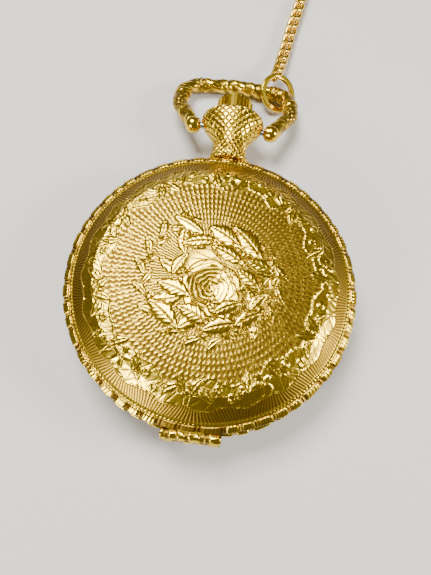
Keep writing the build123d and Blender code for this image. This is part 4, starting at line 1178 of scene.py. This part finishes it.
cosine, sine = np.cos(around * math.tau), np.sin(around * math.tau)
half_x, half_z = (strap_outer - strap_inner) / 2, (strap_top - strap_low) / 2
inward_x = strap_inner + half_x + half_x * np.sign(cosine) * np.abs(cosine) ** squareness
height = strap_low + half_z + half_z * np.sign(sine) * np.abs(sine) ** squareness
turn_by = math.radians(60)
close_sleeve(
    tie,
    np.stack(
        [
            inward_x * math.cos(turn_by) - across * math.sin(turn_by) + coil_middle[0],
            inward_x * math.sin(turn_by) + across * math.cos(turn_by) + coil_middle[1],
            height,
        ],
        1,
    ),
    capped=False,
)
cloth = tie.modifiers.new("cloth", "SOLIDIFY")
cloth.thickness = 0.22 * mm
cloth.offset = 1
bpy.ops.object.modifier_apply(modifier="cloth")
bpy.ops.object.shade_smooth_by_angle(angle=math.radians(50))
tie.data.materials.append(ribbon)
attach(tie, "ring_body")
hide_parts("coil_tie")

# Studio: a pale card table, a softbox overhead, a lamp at the right and one in front, and a
# dim warm room, seen from above the foot of the case.
floor_z = -0.12 * mm
bpy.ops.object.select_all(action="DESELECT")
bpy.ops.mesh.primitive_plane_add(size=1.2, location=(0, 0, floor_z))
table = bpy.context.object
table.name = "table"
at_rest(table)
card, tree, shader = finish_of("matt card", Roughness=0.75)
fleck = grain(0.6, 2.0)
pale = two_tones(fleck, linear("D9D6D0"), linear("CFCBC4"))
feed(shader, Base_Color=pale)
table.data.materials.append(card)

world = bpy.data.worlds.new("room")
bpy.context.scene.world = world
world.use_nodes = True
world.node_tree.nodes["Background"].inputs["Color"].default_value = linear("DDD3C4")
world.node_tree.nodes["Background"].inputs["Strength"].default_value = 0.2
case_middle = Vector((0, 0, stem_z * mm))
for name, place_mm, side_mm, watts in (
    ("overhead softbox", (-70, 95, 270), 130, 1.5),
    ("right lamp", (230, -10, 150), 80, 0.8),
    ("front lamp", (-150, -190, 130), 80, 0.6),
):
    bpy.ops.object.select_all(action="DESELECT")
    bpy.ops.object.light_add(type="AREA", location=Vector(place_mm) * mm)
    lamp = bpy.context.object
    lamp.name = name
    lamp.data.size = side_mm * mm
    lamp.data.energy = watts
    lamp.rotation_euler = (case_middle - lamp.location).to_track_quat("-Z", "Y").to_euler()

tilt = math.radians(70.6)
swing = math.radians(2.0)
roll = math.radians(5.38)
distance = 91.4 * mm
looks_at = Vector((0.78, 0.55, 6.0)) * mm
back_way = Vector((math.sin(swing) * math.cos(tilt), -math.cos(swing) * math.cos(tilt), math.sin(tilt)))
across_way = (-back_way).cross(Vector((0, 0, 1))).normalized()
up_way = across_way.cross(-back_way)
right_way = across_way * math.cos(roll) + up_way * math.sin(roll)
top_way = -across_way * math.sin(roll) + up_way * math.cos(roll)
bpy.ops.object.camera_add(location=looks_at + back_way * distance)
camera = bpy.context.object
camera.data.sensor_width = 36
camera.data.lens = 560.2 / 575 * 36
camera.data.clip_start = 5 * mm
camera.rotation_euler = Matrix((right_way, top_way, back_way)).transposed().to_euler()
bpy.context.scene.camera = camera
